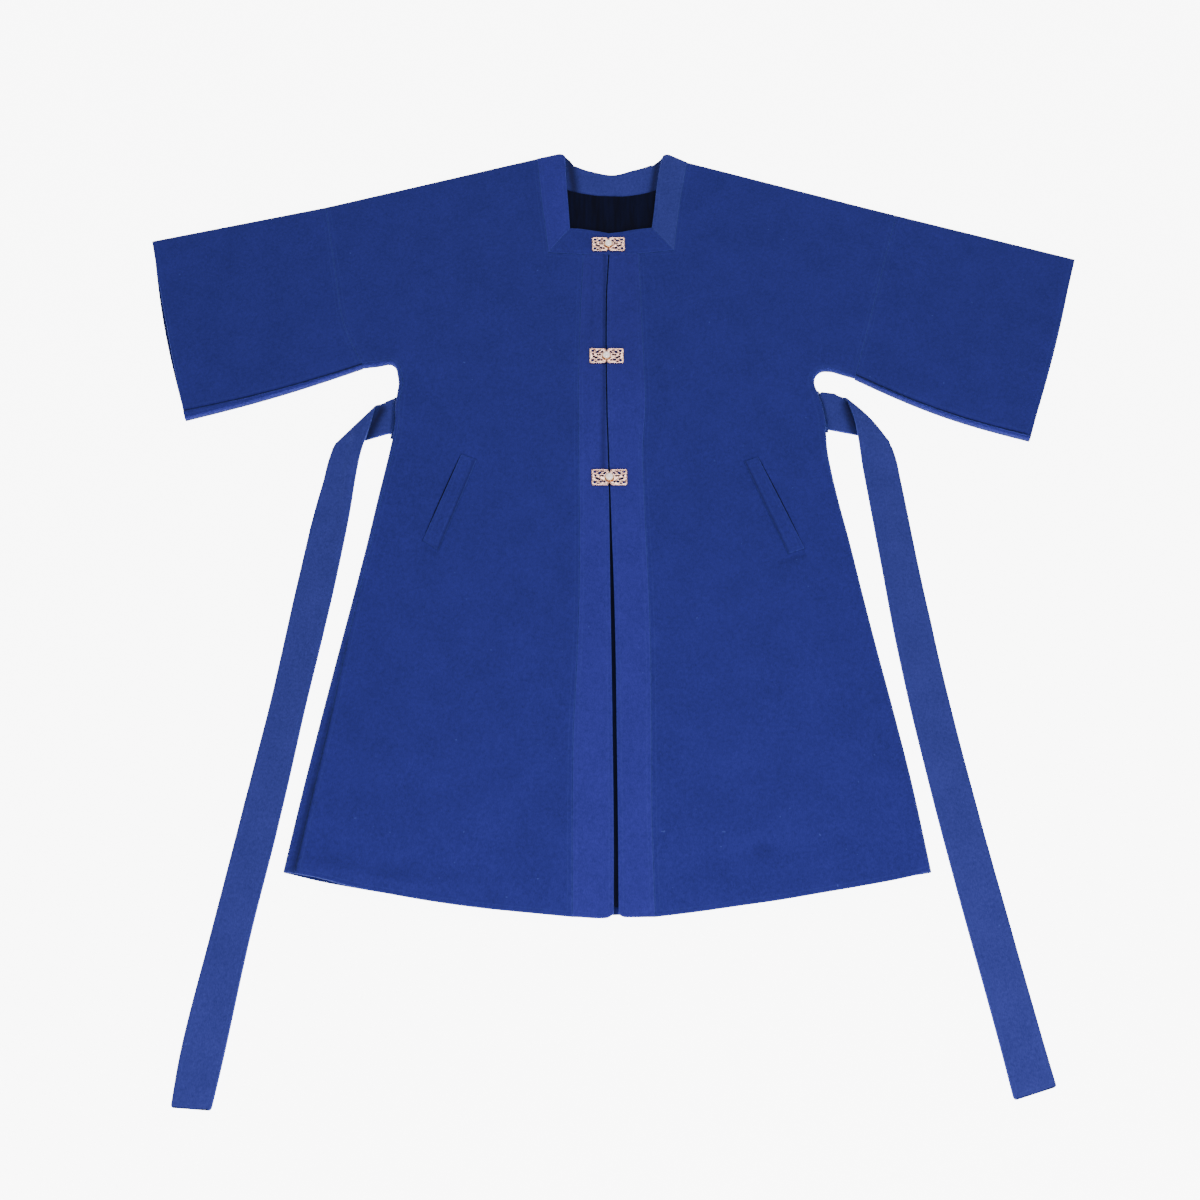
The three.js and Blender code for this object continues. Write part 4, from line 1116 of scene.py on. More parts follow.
@dataclass
class Sleeve:
    """One sleeve, a flattened tube open at both ends, with its seam on top by its lower edge."""

    side: Side
    finishes: Finishes
    flat: Size = (520.0, 300.0)
    length: float = 240.0
    width: float = 260.0
    top: dict = sided((-627.5, 480), (628, 449.5))
    low: dict = sided((-546.5, 195.5), (529.5, 165))
    bow: dict = sided((1.5, 6), (1.5, 4))
    sag: dict = sided(4.0, 8.5)
    strip: dict = sided(8.0, 2.0)
    strip_start: float = 1.0
    seam_open: float = 0.5
    strip_columns: tuple = (0, 0.16, 0.4, 0.7, 1)
    lap: tuple = (1.0, 0.9, 0.6, 0.25, 0)
    sink: tuple = (-0.5, -1.1)
    seam_shade: tuple = (1.3, 0.85)
    shade_every: int = 8
    ease: float = 20.0

    def build(self) -> Object:
        """Rings from the armhole to the cuff.

        Each runs from the seam round the lower edge, along the back, over the top edge and
        back along the front. A point lies between the two edges, plus what is left of the
        armhole's curve, plus the cuff's bow.

        Returns:
            The sleeve.
        """
        side, edge = self.side, Outline(self.side)
        control = rows_of(ARMHOLE[side])
        cuff_top, cuff_low = rows_of(self.top[side]), rows_of(self.low[side])
        cuff_across = unit(cuff_top - cuff_low)
        cuff_top, cuff_low = cuff_top - cuff_across * EDGE, cuff_low + cuff_across * EDGE
        rings = int(np.linalg.norm(cuff_top - control[0]) / CLOTH_STEP)
        t = crisp(rings + 1, self.length)[:, None]
        across = unit(edge.sleeve_across() * (1 - t) + cuff_across * t)
        top_edge = control[0] * (1 - t) + cuff_top * t
        low_edge = (control[-1] * (1 - t) + cuff_low * t
                    - across * self.sag[side] * np.sin(np.pi * t))
        width = np.linalg.norm(top_edge - low_edge, axis=1)[:, None]
        strip = self.strip_start * (1 - t) + self.strip[side] * t
        around = int(self.width / CLOTH_STEP)

        def layer(q: np.ndarray, which: int) -> np.ndarray:
            """Flat points of one layer, for shares from the top edge to the lower one."""
            fine = edge.armhole([60] * ARMHOLE_STEPS)
            share = np.linspace(0, 1, len(fine))
            seam = read_at(q, share, fine)
            chord = control[0] + (control[-1] - control[0]) * q[..., None]
            at = top_edge[:, None] * (1 - q[..., None]) + low_edge[:, None] * q[..., None]
            at = at + (seam - chord) * (1 - t)[..., None]
            at[..., 0] += side.sign * self.bow[side][which] * np.sin(np.pi * q) * t * t
            return at

        def turned(line: np.ndarray, away: np.ndarray, start: float, end: float) -> np.ndarray:
            """The inner columns of a half turn beside the sleeve's edge."""
            angle = np.linspace(0, np.pi, ROLL_STEPS + 1)[1:-1]
            flat = line[:, None] + away[:, None] * (ROLL * np.sin(angle))[None, :, None]
            high = (start + end) / 2 + (start - end) / 2 * np.cos(angle)
            return np.dstack([flat, np.broadcast_to(high, flat.shape[:2])])

        def front(q: np.ndarray, seam: np.ndarray) -> np.ndarray:
            """Points of the front layer, with its soft lie and its level beside the seam."""
            flat = layer(q, 0)
            ease = np.clip(np.minimum(q, 1 - q) * self.ease, 0, 1)
            x, y = flat[..., 0], flat[..., 1]
            rise = bells(x, y, SLEEVE_FOLDS) + swell(x, y)
            return np.dstack([flat, FRONT_LEVEL + rise * ease + seam[None] * np.sqrt(t)])

        ones = np.ones_like(t)
        even = np.linspace(0, 1, around + 1)[None]
        strip_q = 1 - strip / width * (1 - np.asarray(self.strip_columns)[None])
        front_q = (1 - (strip + self.seam_open * np.sqrt(t)) / width) * np.unique(
            np.concatenate([even[0], [1 - EDGE_STEP / 250, 1 - EDGE_STEP / 125]]))[None]
        back = layer(ones * even[:, ::-1], 1)
        beside = np.concatenate([np.zeros(front_q.shape[1] - len(self.sink)), self.sink])
        grid = np.concatenate([
            front(strip_q, np.asarray(self.lap)),
            turned(low_edge, -across, FRONT_LEVEL, BACK_LEVEL),
            np.dstack([back, np.full(back.shape[:2], BACK_LEVEL)]),
            turned(top_edge, across, BACK_LEVEL, FRONT_LEVEL),
            front(front_q, beside),
        ], axis=1)
        seam = grid[::self.shade_every, -1, :2]
        shades = [(*one, *two, *self.seam_shade) for one, two in zip(seam, seam[1:])]
        cut = Cut(f"sleeve_{side.value}", self.flat, ("floor",), Hold.FOLDED)
        return dress(cut, shell([grid], WALL), self.finishes.wool, shades)


@dataclass
class Collar:
    """The square collar: two side bands, two front bands mitred to them, and the neck band."""

    finishes: Finishes
    side_flat: Size = (60.0, 190.0)
    front_flat: Size = (90.0, 48.0)
    neck_flat: Size = (230.0, 66.0)
    side_length: float = 160.0
    front_width: float = 38.0
    neck_width: float = 36.0
    across: int = 13
    tip: float = 6.0
    tip_start: float = 0.76
    tip_round: float = 2.5
    crown: tuple = (0.5, 0.4)

    def side_band(self, side: Side) -> Object:
        """Patch between the band's two edges, rolled over the shoulder, its tip rounded."""
        outer = rows_of(COLLAR[side]["outer"])
        inner = rows_of(COLLAR[side]["inner"])
        corner = inner[0].copy()
        inner[0] += unit(inner[1] - inner[0]) * self.tip
        rows = steps_for([outer, inner], BAND_STEP)
        one, two = refine(outer, rows), refine(inner, rows)
        width = float(np.linalg.norm(one[0] - two[0]))
        u = crisp(int(width / BAND_STEP) + 1, width)
        v = crisp(len(one), self.side_length)
        one, two = (read_at(v, np.linspace(0, 1, len(e)), e) for e in (one, two))
        near_tip = np.clip((u - self.tip_start) / (1 - self.tip_start), 0, 1)[:, None]
        top = straight(outer[0], corner, u) + (inner[0] - corner) * near_tip**self.tip_round
        grid = coons(one, two, top, straight(one[-1], two[-1], u), v, u)
        crown = self.crown[0] * np.sin(np.pi * u)[None] * np.clip(v * 8, 0, 1)[:, None]
        main = lifted(grid, band_z)
        main[..., 2] += crown + COLLAR_LIFT * (u[None] ** 2) * np.sin(np.pi * v)[:, None]
        outward = np.tile(Outline(side).shoulder_outward(), (len(u), 1))
        roll = flanged(grid[0], outward, lambda x, y: main[0, :, 2],
                       lambda x, y: np.full(x.shape, BAND_WALL / 2), np.full(len(u), FLANGE))
        cut = Cut(f"collar_side_{side.value}", self.side_flat, (f"front_{side.value}",))
        # Painted light: the wearer's left band takes the lighter copy, as if it caught more light.
        wool = self.finishes.band if side is Side.RIGHT else self.finishes.lit_wool
        return dress(cut, shell([main, roll], BAND_WALL), wool)

    def front_band(self, side: Side) -> Object:
        """Patch from the mitre to the centre front."""
        outer = rows_of(COLLAR[side]["outer"][-1])
        inner = rows_of(COLLAR[side]["inner"][-1])
        away = square_to(unit(inner - outer), (-side.sign, 0))
        lines = []
        for name in ("top", "base"):
            line = rows_of(COLLAR[side][name])
            line[0] += away * SEAM_GAP
            line[-1, 0] += side.sign * SEAM_GAP
            lines.append(line)
        columns = steps_for(lines, BAND_STEP)
        top, base = (refine(line, columns) for line in lines)
        u = stations(columns) / (len(lines[0]) - 1)
        v = crisp(self.across, self.front_width)
        left, right = (straight(top[end], base[end], v) for end in (0, -1))
        main = lifted(coons(left, right, top, base, v, u), band_z)
        fade = np.clip((1 - u) * 6, 0, 1)[None]
        main[..., 2] += self.crown[1] * np.sin(np.pi * v)[:, None] * fade
        cut = Cut(f"collar_front_{side.value}", self.front_flat, (f"front_{side.value}",))
        return dress(cut, shell([main], BAND_WALL), self.finishes.cross)

    def neck_band(self) -> Object:
        """Grid from the neck seam up to the free edge, with a soft dip at each end."""
        sewn, free = rows_of(NECK_SEWN), rows_of(NECK_FREE)
        columns = steps_for([sewn, free], BAND_STEP)
        one, two = refine(sewn, columns), refine(free, columns)
        rise = np.interp(stations(columns), np.arange(len(NECK_RISE)), NECK_RISE)
        v = crisp(self.across, self.neck_width)[:, None]
        flat = one[None] * (1 - v[..., None]) + two[None] * v[..., None]
        z = BACK_LEVEL + rise[None] * v
        z += bells(flat[..., 0], flat[..., 1], NECK_FOLDS) * np.sin(np.pi * v * 0.5)
        cut = Cut("collar_back", self.neck_flat, ("back_panel",))
        skin = shell([np.dstack([flat, np.maximum(z, BACK_LEVEL)])], WALL)
        return dress(cut, skin, self.finishes.lit_wool)

    def build(self) -> None:
        """Makes the five bands."""
        self.neck_band()
        for side in Side:
            self.side_band(side)
            self.front_band(side)


@dataclass
class FrontBand:
    """The band down one front, beside the slit."""

    side: Side
    finishes: Finishes
    flat: Size = (52.0, 900.0)
    part: float = 0.7
    length: float = 900.0
    width: float = 38.0
    edge_width: float = 40.0
    across: int = 14
    dip: dict = sided(1.1, -0.3)
    dip_reach: float = 4.0
    closed_from: float = 60.0
    closed_over: float = 120.0
    hem_bow: dict = sided(2.6, 0.6)
    hem_corner: dict = sided(3.2, 2.6)
    corner_reach: float = 3.2
    hem_reach: float = 40.0

    def build(self) -> Object:
        """Patch between the band's seam and the slit.

        Returns:
            The band.
        """
        side = self.side
        seam = band_seam(side)
        slit = np.array([(row[1] + side.sign * max(row[2], row[2] / 4 + self.part), row[0])
                         for row in CENTRE_FRONT], float)
        slit[0, 1] = COLLAR[side]["base"][4][1] - SEAM_GAP
        rows = steps_for([seam, slit], BAND_STEP + 1)
        one, two = refine(seam, rows), refine(slit, rows)
        rough = stations(rows) / (len(seam) - 1)
        v = edged(rough, self.length)
        one, two = (read_at(v, rough, e) for e in (one, two))
        u = crisp(self.across, self.edge_width)
        top, bottom = (straight(one[end], two[end], u) for end in (0, -1))
        grid = coons(one, two, top, bottom, v, u)
        near_hem = np.clip(1 + (grid[-1:, :, 1] - grid[..., 1]) / self.hem_reach, 0, 1) ** 2
        from_slit = (1 - u) * self.width
        hem = (self.hem_corner[side] * np.exp(-((from_slit / self.corner_reach) ** 2))
               - self.hem_bow[side] * np.sin(np.pi * u) * u)
        grid[..., 1] += near_hem * hem[None]
        main = lifted(grid, band_z)
        x, y = grid[..., 0], grid[..., 1]
        ease = np.sin(np.pi * np.clip(u, 0, 1))[None]
        main[..., 2] += 0.35 * ease + 0.6 * swell(x, y) * ease + bells(x, y, BAND_FOLDS)
        closed = np.clip((y[:, :1] - self.closed_from) / self.closed_over, 0, 1)
        main[..., 2] -= (self.dip[side] * closed
                         * np.exp(-((from_slit[None] / self.dip_reach) ** 2)))
        cut = Cut(f"placket_{side.value}", self.flat, (f"front_{side.value}", "lining_back"))
        return dress(cut, shell([main], BAND_WALL), self.finishes.band)


@dataclass
class Welt:
    """One slanted pocket welt, with the dark mouth of the pocket along its outer long edge."""

    side: Side
    finishes: Finishes
    flat: Size = (22.0, 144.0)
    wall: float = 1.3
    clear: float = 0.08
    mouth: float = 1.7
    mouth_wall: float = 0.3
    length: float = 144.0
    width: float = 20.0
    edge_step: float = 1.6
    puff: float = 0.7
    corners: dict = sided([(-191, 143), (-171, 135), (-213, 8), (-233, 22)],
                          [(183, 139), (165, 132), (213, 4), (234, 11)])

    def build(self) -> Object:
        """Patch between its corners, lifted along its opening, and the strip of the mouth.

        Returns:
            The welt.
        """
        top_outer, top_inner, low_inner, low_outer = rows_of(self.corners[self.side])
        v, u = crisp(36, self.length), crisp(7, self.width, self.edge_step)
        left, right = straight(top_outer, low_outer, v), straight(top_inner, low_inner, v)
        top, bottom = straight(top_outer, top_inner, u), straight(low_outer, low_inner, u)
        grid = coons(left, right, top, bottom, v, u)
        main = lifted(grid, front_z)
        main[..., 2] += (WALL + self.wall) / 2 + self.clear
        main[..., 2] += self.puff * ((1 - u)[None] ** 2) * np.sin(np.pi * v)[:, None] ** 0.5
        welt = shell([main], self.wall, ROUND)
        # The mouth: a strip of dark lining along the opening, for the lining inside the pocket and
        # the painted shade in the opening.
        away = unit(top_outer - top_inner)
        width = self.mouth * np.sin(np.pi * np.clip(v, 0.02, 0.9) / 0.92)[:, None] ** 0.4
        strip = np.stack([left + away * width, left - away * self.mouth], axis=1)
        dark = lifted(strip, front_z)
        dark[..., 2] += (WALL + self.mouth_wall) / 2 + self.clear
        slip = shell([dark], self.mouth_wall)
        both = joined([welt, slip])
        both.area, both.edge = welt.area, np.concatenate([welt.edge, slip.edge])
        cut = Cut(f"welt_{self.side.value}", self.flat, (f"front_{self.side.value}",))
        obj = dress(cut, both, self.finishes.wool)
        obj.data.materials.append(self.finishes.lining)
        index = np.repeat([0, 1], [len(welt.faces[0]), len(slip.faces[0])])
        obj.data.polygons.foreach_set("material_index", index)
        return obj


@dataclass
class Belt:
    """The cloth belt, one strip: hanging end, fold over its stub, under the back, and again."""

    finishes: Finishes
    flat: Size = (46.5, 2270.0)
    radius: float = 2.0
    corner: float = 3.5
    end_rows: tuple = (0.25, 0.7, 1.4, 2.4)
    hidden_rows: int = 90
    edge_width: float = 44.0
    puff: float = 4.0
    wave: tuple = (0.55, 0.35)
    rest: float = 0.9
    # Rows from the hanging end up to the fold on the right, and down from it on the left:
    # x and y of the outer edge, of the inner edge, and the height over the floor.
    hang: dict = sided(
        [
            (-458.7, -627.5, -416, -630.5, 0), (-456.2, -580.5, -409.5, -583, 0),
            (-439.5, -457.2, -395.6, -461, 0), (-420.5, -324.7, -376, -330, 0),
            (-400, -181.9, -357.6, -188, 0), (-382.7, -27.5, -336.7, -32, 0),
            (-369.1, 77.6, -325.3, 77.6, 0.3), (-363.8, 106, -322.4, 114, 1.4),
            (-359.3, 134.7, -317, 153, 3.2), (-355.2, 152.5, -309, 184, 4),
        ],
        [
            (355.2, 152.5, 309.3, 190, 4), (358.9, 134, 312, 163, 3.2),
            (361, 116.7, 314.2, 134, 1.4), (364, 88, 318.4, 90, 0.3),
            (373, -14, 327.3, -14, 0), (382.7, -106.2, 335.1, -106, 0),
            (391.3, -181.9, 343, -178, 0), (411.4, -324.7, 362.4, -319, 0),
            (432.9, -457.2, 384, -451, 0), (453, -580.5, 404.6, -576, 0),
            (457.6, -607.2, 411.2, -620.8, 0),
        ],
    )
    # The fold's line on each side, how far it bows, and the rows of the stub under it.
    fold: dict = sided((-351, 163.5, -303, 218.4), (348, 170.5, 300.5, 229.8))
    bow: dict = sided(0.6, 4.4)
    stub: dict = sided([(-314, 168.2, -292.5, 226, 0), (-287, 177.5, -283, 231, 0)],
                       [(279, 183, 271, 241, 0), (311, 176, 287.7, 238.5, 0)])

    def turn(self, side: Side) -> np.ndarray:
        """Rows round the fold, from the top layer down to the stub's.

        Seen from above, the rows stay inside the fold's line by the wall and the bend, and
        their ends pass from the hanging part's edges to the stub's.

        Args:
            side: the wearer's side.

        Returns:
            Rows as in the tables, with the bow of the fold's line in x and y.
        """
        ends = rows_of(self.fold[side]).reshape(2, 2)
        away = square_to(unit(ends[1] - ends[0]), (side.sign, 0))
        hang = self.table(self.hang[side])[-1 if side is Side.RIGHT else 0]
        stub = self.table(self.stub[side])[0 if side is Side.RIGHT else -1]
        angle = np.linspace(0, np.pi, ROLL_STEPS + 1)[:, None]
        reach = -(self.radius + BELT_WALL / 2) + self.radius * np.sin(angle)
        share = (1 - np.cos(angle)) / 2
        edges = []
        for end, at in zip(ends, (0, 2)):
            over, under = hang[at:at + 2] - end, stub[at:at + 2] - end
            over, under = over / (over @ away), under / (under @ away)
            edges.append(end + reach * (over * (1 - share) + under * share))
        rise = self.radius * (1 + np.cos(angle))
        bow = np.broadcast_to(away * self.bow[side], (len(angle), 2))
        return np.hstack([*edges, rise, bow])

    @staticmethod
    def table(rows: Points) -> np.ndarray:
        """Rows of the tables with room for the bow."""
        return np.pad(rows_of(rows), ((0, 0), (0, 2)))

    @staticmethod
    def run(rows: np.ndarray, curved: bool = True) -> np.ndarray:
        """Rows refined to the belt's step, along a curve or in straight lines."""
        counts = steps_for([rows[:, :2], rows[:, 2:4]], CLOTH_STEP)
        return refine(rows, counts) if curved else graded(rows, counts)

    def build(self) -> Object:
        """Strip across all rows, with round corners at its ends and an uneven lie.

        Returns:
            The belt.
        """
        hidden = np.linspace(0, 1, self.hidden_rows)[:, None]
        middle = (np.asarray(BELT_RIGHT) * (1 - hidden) + np.asarray(BELT_LEFT) * hidden)
        half = BELT_WIDTH / 2
        under = np.column_stack([middle - (0, half), middle + (0, half),
                                 np.zeros((len(middle), 3))])
        turn_right, turn_left = self.turn(Side.RIGHT), self.turn(Side.LEFT)[::-1]
        stub_right = np.vstack([turn_right[-1:], self.table(self.stub[Side.RIGHT]), under[:1]])
        stub_left = np.vstack([under[-1:], self.table(self.stub[Side.LEFT]), turn_left[:1]])
        rows = np.vstack([
            self.run(np.vstack([self.table(self.hang[Side.RIGHT]), turn_right[:1]]))[:-1],
            turn_right[:-1], self.run(stub_right, False)[:-1], under[:-1],
            self.run(stub_left, False)[:-1], turn_left[:-1],
            self.run(np.vstack([turn_left[-1:], self.table(self.hang[Side.LEFT])])),
        ])
        extra = []
        for end, step in ((0, 1), (-1, -1)):
            near, beyond = rows[end], rows[end + step]
            gap = np.linalg.norm(near[:2] - beyond[:2])
            extra.append([near + (beyond - near) * min(d / gap, 0.95) for d in self.end_rows])
        rows = np.vstack([rows[:1], extra[0], rows[1:-1], extra[1][::-1], rows[-1:]])
        along = lengths((rows[:, :2] + rows[:, 2:4]) / 2)
        from_end = np.minimum(along, along[-1] - along)
        cut_in = self.corner - np.sqrt(np.maximum(
            self.corner**2 - np.maximum(self.corner - from_end, 0) ** 2, 0))
        u = crisp(13, self.edge_width)
        side_shift = (cut_in / BELT_WIDTH)[:, None]
        q = side_shift + (1 - 2 * side_shift) * u[None]
        low, high = rows[:, None, :2], rows[:, None, 2:4]
        flat = low * (1 - q[..., None]) + high * q[..., None]
        flat += rows[:, None, 5:7] * np.sin(np.pi * q)[..., None]
        z = BELT_LEVEL + rows[:, 4:5] * (1 + self.puff / 4 * q**2)
        free = np.clip((-flat[..., 1] + 60) / 120, 0, 1)
        long, short = self.wave
        wave = (np.sin(along / 61 + 0.7)[:, None] * long
                + np.sin(along / 23 + 1.3)[:, None]
                * np.sin(np.pi * q + along[:, None] / 90) * short)
        z += free * (wave + self.rest) + bells(flat[..., 0], flat[..., 1], BELT_FOLDS)
        z = np.maximum(z, BELT_LEVEL)
        cut = Cut("belt", self.flat, ("floor", "back_panel"), Hold.FOLDED)
        return dress(cut, shell([np.dstack([flat, z])], BELT_WALL, ROUND), self.finishes.lit_wool)


@dataclass
class BeltLoop:
    """A narrow strip at the side seam that bridges the belt."""

    side: Side
    finishes: Finishes
    flat: Size = (10.0, 88.0)
    width: float = 3.0
    clear: float = 0.4
    path: tuple = ((-31, 2.4), (-28, 3.0), (-24.5, 4.2), (0, 4.6), (24.5, 4.2), (28, 3.0),
                   (31, 2.4))

    def build(self) -> Object:
        """Strip along the outline, over the belt's stub.

        Returns:
            The loop.
        """
        rows = rows_of(OUTLINE[self.side])[UNDERARM_ROWS:]
        middle = BELT_RIGHT[1] if self.side is Side.RIGHT else BELT_LEFT[1]
        line = refine(self.path, [6] * (len(self.path) - 1))
        y = middle + line[:, 0]
        near = np.abs(np.interp(y, rows[::-1, 1], rows[::-1, 0])) + self.clear
        u = np.linspace(0, 1, 5)[None]
        x = self.side.sign * (near[:, None] + self.width * u)
        grid = np.dstack([x, np.broadcast_to(y[:, None], x.shape),
                          np.broadcast_to(line[:, 1:], x.shape)])
        cut = Cut(f"belt_loop_{self.side.value}", self.flat, ("belt",))
        return dress(cut, shell([grid], LOOP_WALL), self.finishes.wool)


def tube(path: np.ndarray, radius: float | np.ndarray, sides: int = 6,
         closed: bool = False) -> Skin:
    """Round wire carried along a path that lies nearly level.

    A ring at each point stands square to the path: radius times the cosine along the level
    normal, and times the sine upward.

    Args:
        path: points in space.
        radius: one for all, or one for each point.
        sides: points round a ring.
        closed: whether the last point joins the first.

    Returns:
        The wire, with flat ends when open.
    """
    count = len(path)
    if closed:
        along = unit(np.roll(path, -1, axis=0) - np.roll(path, 1, axis=0))
    else:
        padded = np.vstack([path[:1], path, path[-1:]])
        along = unit(padded[2:] - padded[:-2])
    normal = unit(np.column_stack([-along[:, 1], along[:, 0], np.zeros(count)]))
    angle = 2 * np.pi * np.arange(sides) / sides
    size = np.broadcast_to(radius, count)[:, None, None]
    ring = (path[:, None] + normal[:, None] * np.cos(angle)[None, :, None] * size
            + np.array([0, 0, 1.0]) * np.sin(angle)[None, :, None] * size)
    i = np.arange(count if closed else count - 1)[:, None] * sides
    following = (i + sides) % (count * sides)
    j = np.arange(sides)[None]
    k = (j + 1) % sides
    quads = np.stack([i + j, i + k, following + k, following + j], axis=-1).reshape(-1, 4)
    faces = [quads]
    if not closed:
        last = (count - 1) * sides
        fan = np.arange(1, sides - 1)
        start = np.stack([np.zeros_like(fan), fan + 1, fan], axis=-1)
        faces.append(start)
        faces.append(last + start[:, ::-1])
    return Skin(ring.reshape(-1, 3), faces).outward()


def turned_form(profile: Points, sides: int) -> Skin:
    """Turns a profile of radius and height, from the axis to the axis, round Z."""
    p = rows_of(profile)
    inner = p[1:-1]
    angle = 2 * np.pi * np.arange(sides) / sides
    rings = np.stack([inner[:, :1] * np.cos(angle), inner[:, :1] * np.sin(angle),
                      np.broadcast_to(inner[:, 1:], (len(inner), sides))], axis=-1)
    points = np.vstack([[[0, 0, p[0, 1]]], rings.reshape(-1, 3), [[0, 0, p[-1, 1]]]])
    j = np.arange(sides)
    k = (j + 1) % sides
    i = 1 + np.arange(len(inner) - 1)[:, None] * sides
    quads = np.stack([i + j, i + k, i + sides + k, i + sides + j], axis=-1).reshape(-1, 4)
    last = 1 + (len(inner) - 1) * sides
    top = len(points) - 1
    foot = np.stack([np.zeros_like(j), 1 + k, 1 + j], axis=-1)
    head = np.stack([np.full_like(j, top), last + j, last + k], axis=-1)
    return Skin(points, [quads, foot, head]).outward()


def joined(skins: Sequence[Skin]) -> Skin:
    """Several closed skins as one."""
    points, faces, at = [], [], 0
    for skin in skins:
        points.append(skin.points)
        faces += [block + at for block in skin.faces]
        at += len(skin.points)
    return Skin(np.vstack(points), faces)


def placed(skin: Skin, shift: Sequence[float], mirror: bool = False) -> Skin:
    """A skin moved by shift, after mirroring in X if asked, with its faces still out."""
    points = skin.points * ((-1, 1, 1) if mirror else (1, 1, 1)) + rows_of(shift)
    faces = [block[:, ::-1] for block in skin.faces] if mirror else list(skin.faces)
    return Skin(points, faces)


def pierced(outline: np.ndarray, holes: Sequence[np.ndarray], depth: float,
            bevel: float) -> Skin:
    """Flat plate with holes and softened edges, filled between closed lines.

    Args:
        outline: flat points round the plate.
        holes: flat points round each hole.
        depth: the plate's thickness.
        bevel: how far its edges are rounded.

    Returns:
        The plate, its underside at 0.
    """
    curve = bpy.data.curves.new("plate_lines", "CURVE")
    curve.dimensions = "2D"
    curve.fill_mode = "BOTH"
    curve.extrude = depth / 2 - bevel
    curve.bevel_depth = bevel
    curve.bevel_resolution = 1
    curve.offset = -bevel
    for line in [outline, *holes]:
        spline = curve.splines.new("POLY")
        spline.points.add(len(line) - 1)
        flat = np.column_stack([line, np.zeros(len(line)), np.ones(len(line))])
        spline.points.foreach_set("co", flat.reshape(-1))
        spline.use_cyclic_u = True
    holder = linked("plate_lines", curve)
    mesh = bpy.data.meshes.new_from_object(
        holder.evaluated_get(bpy.context.evaluated_depsgraph_get()))
    work = bmesh.new()
    work.from_mesh(mesh)
    bmesh.ops.remove_doubles(work, verts=work.verts, dist=1e-4)
    bmesh.ops.triangulate(work, faces=work.faces)
    bmesh.ops.recalc_face_normals(work, faces=work.faces)
    work.to_mesh(mesh)
    work.free()
    points = np.empty(len(mesh.vertices) * 3)
    mesh.vertices.foreach_get("co", points)
    faces = np.empty(len(mesh.polygons) * 3, np.int64)
    mesh.polygons.foreach_get("vertices", faces)
    bpy.data.objects.remove(holder)
    bpy.data.curves.remove(curve)
    bpy.data.meshes.remove(mesh)
    skin = Skin(points.reshape(-1, 3) + (0, 0, depth / 2), [faces.reshape(-1, 3)])
    return skin.outward()


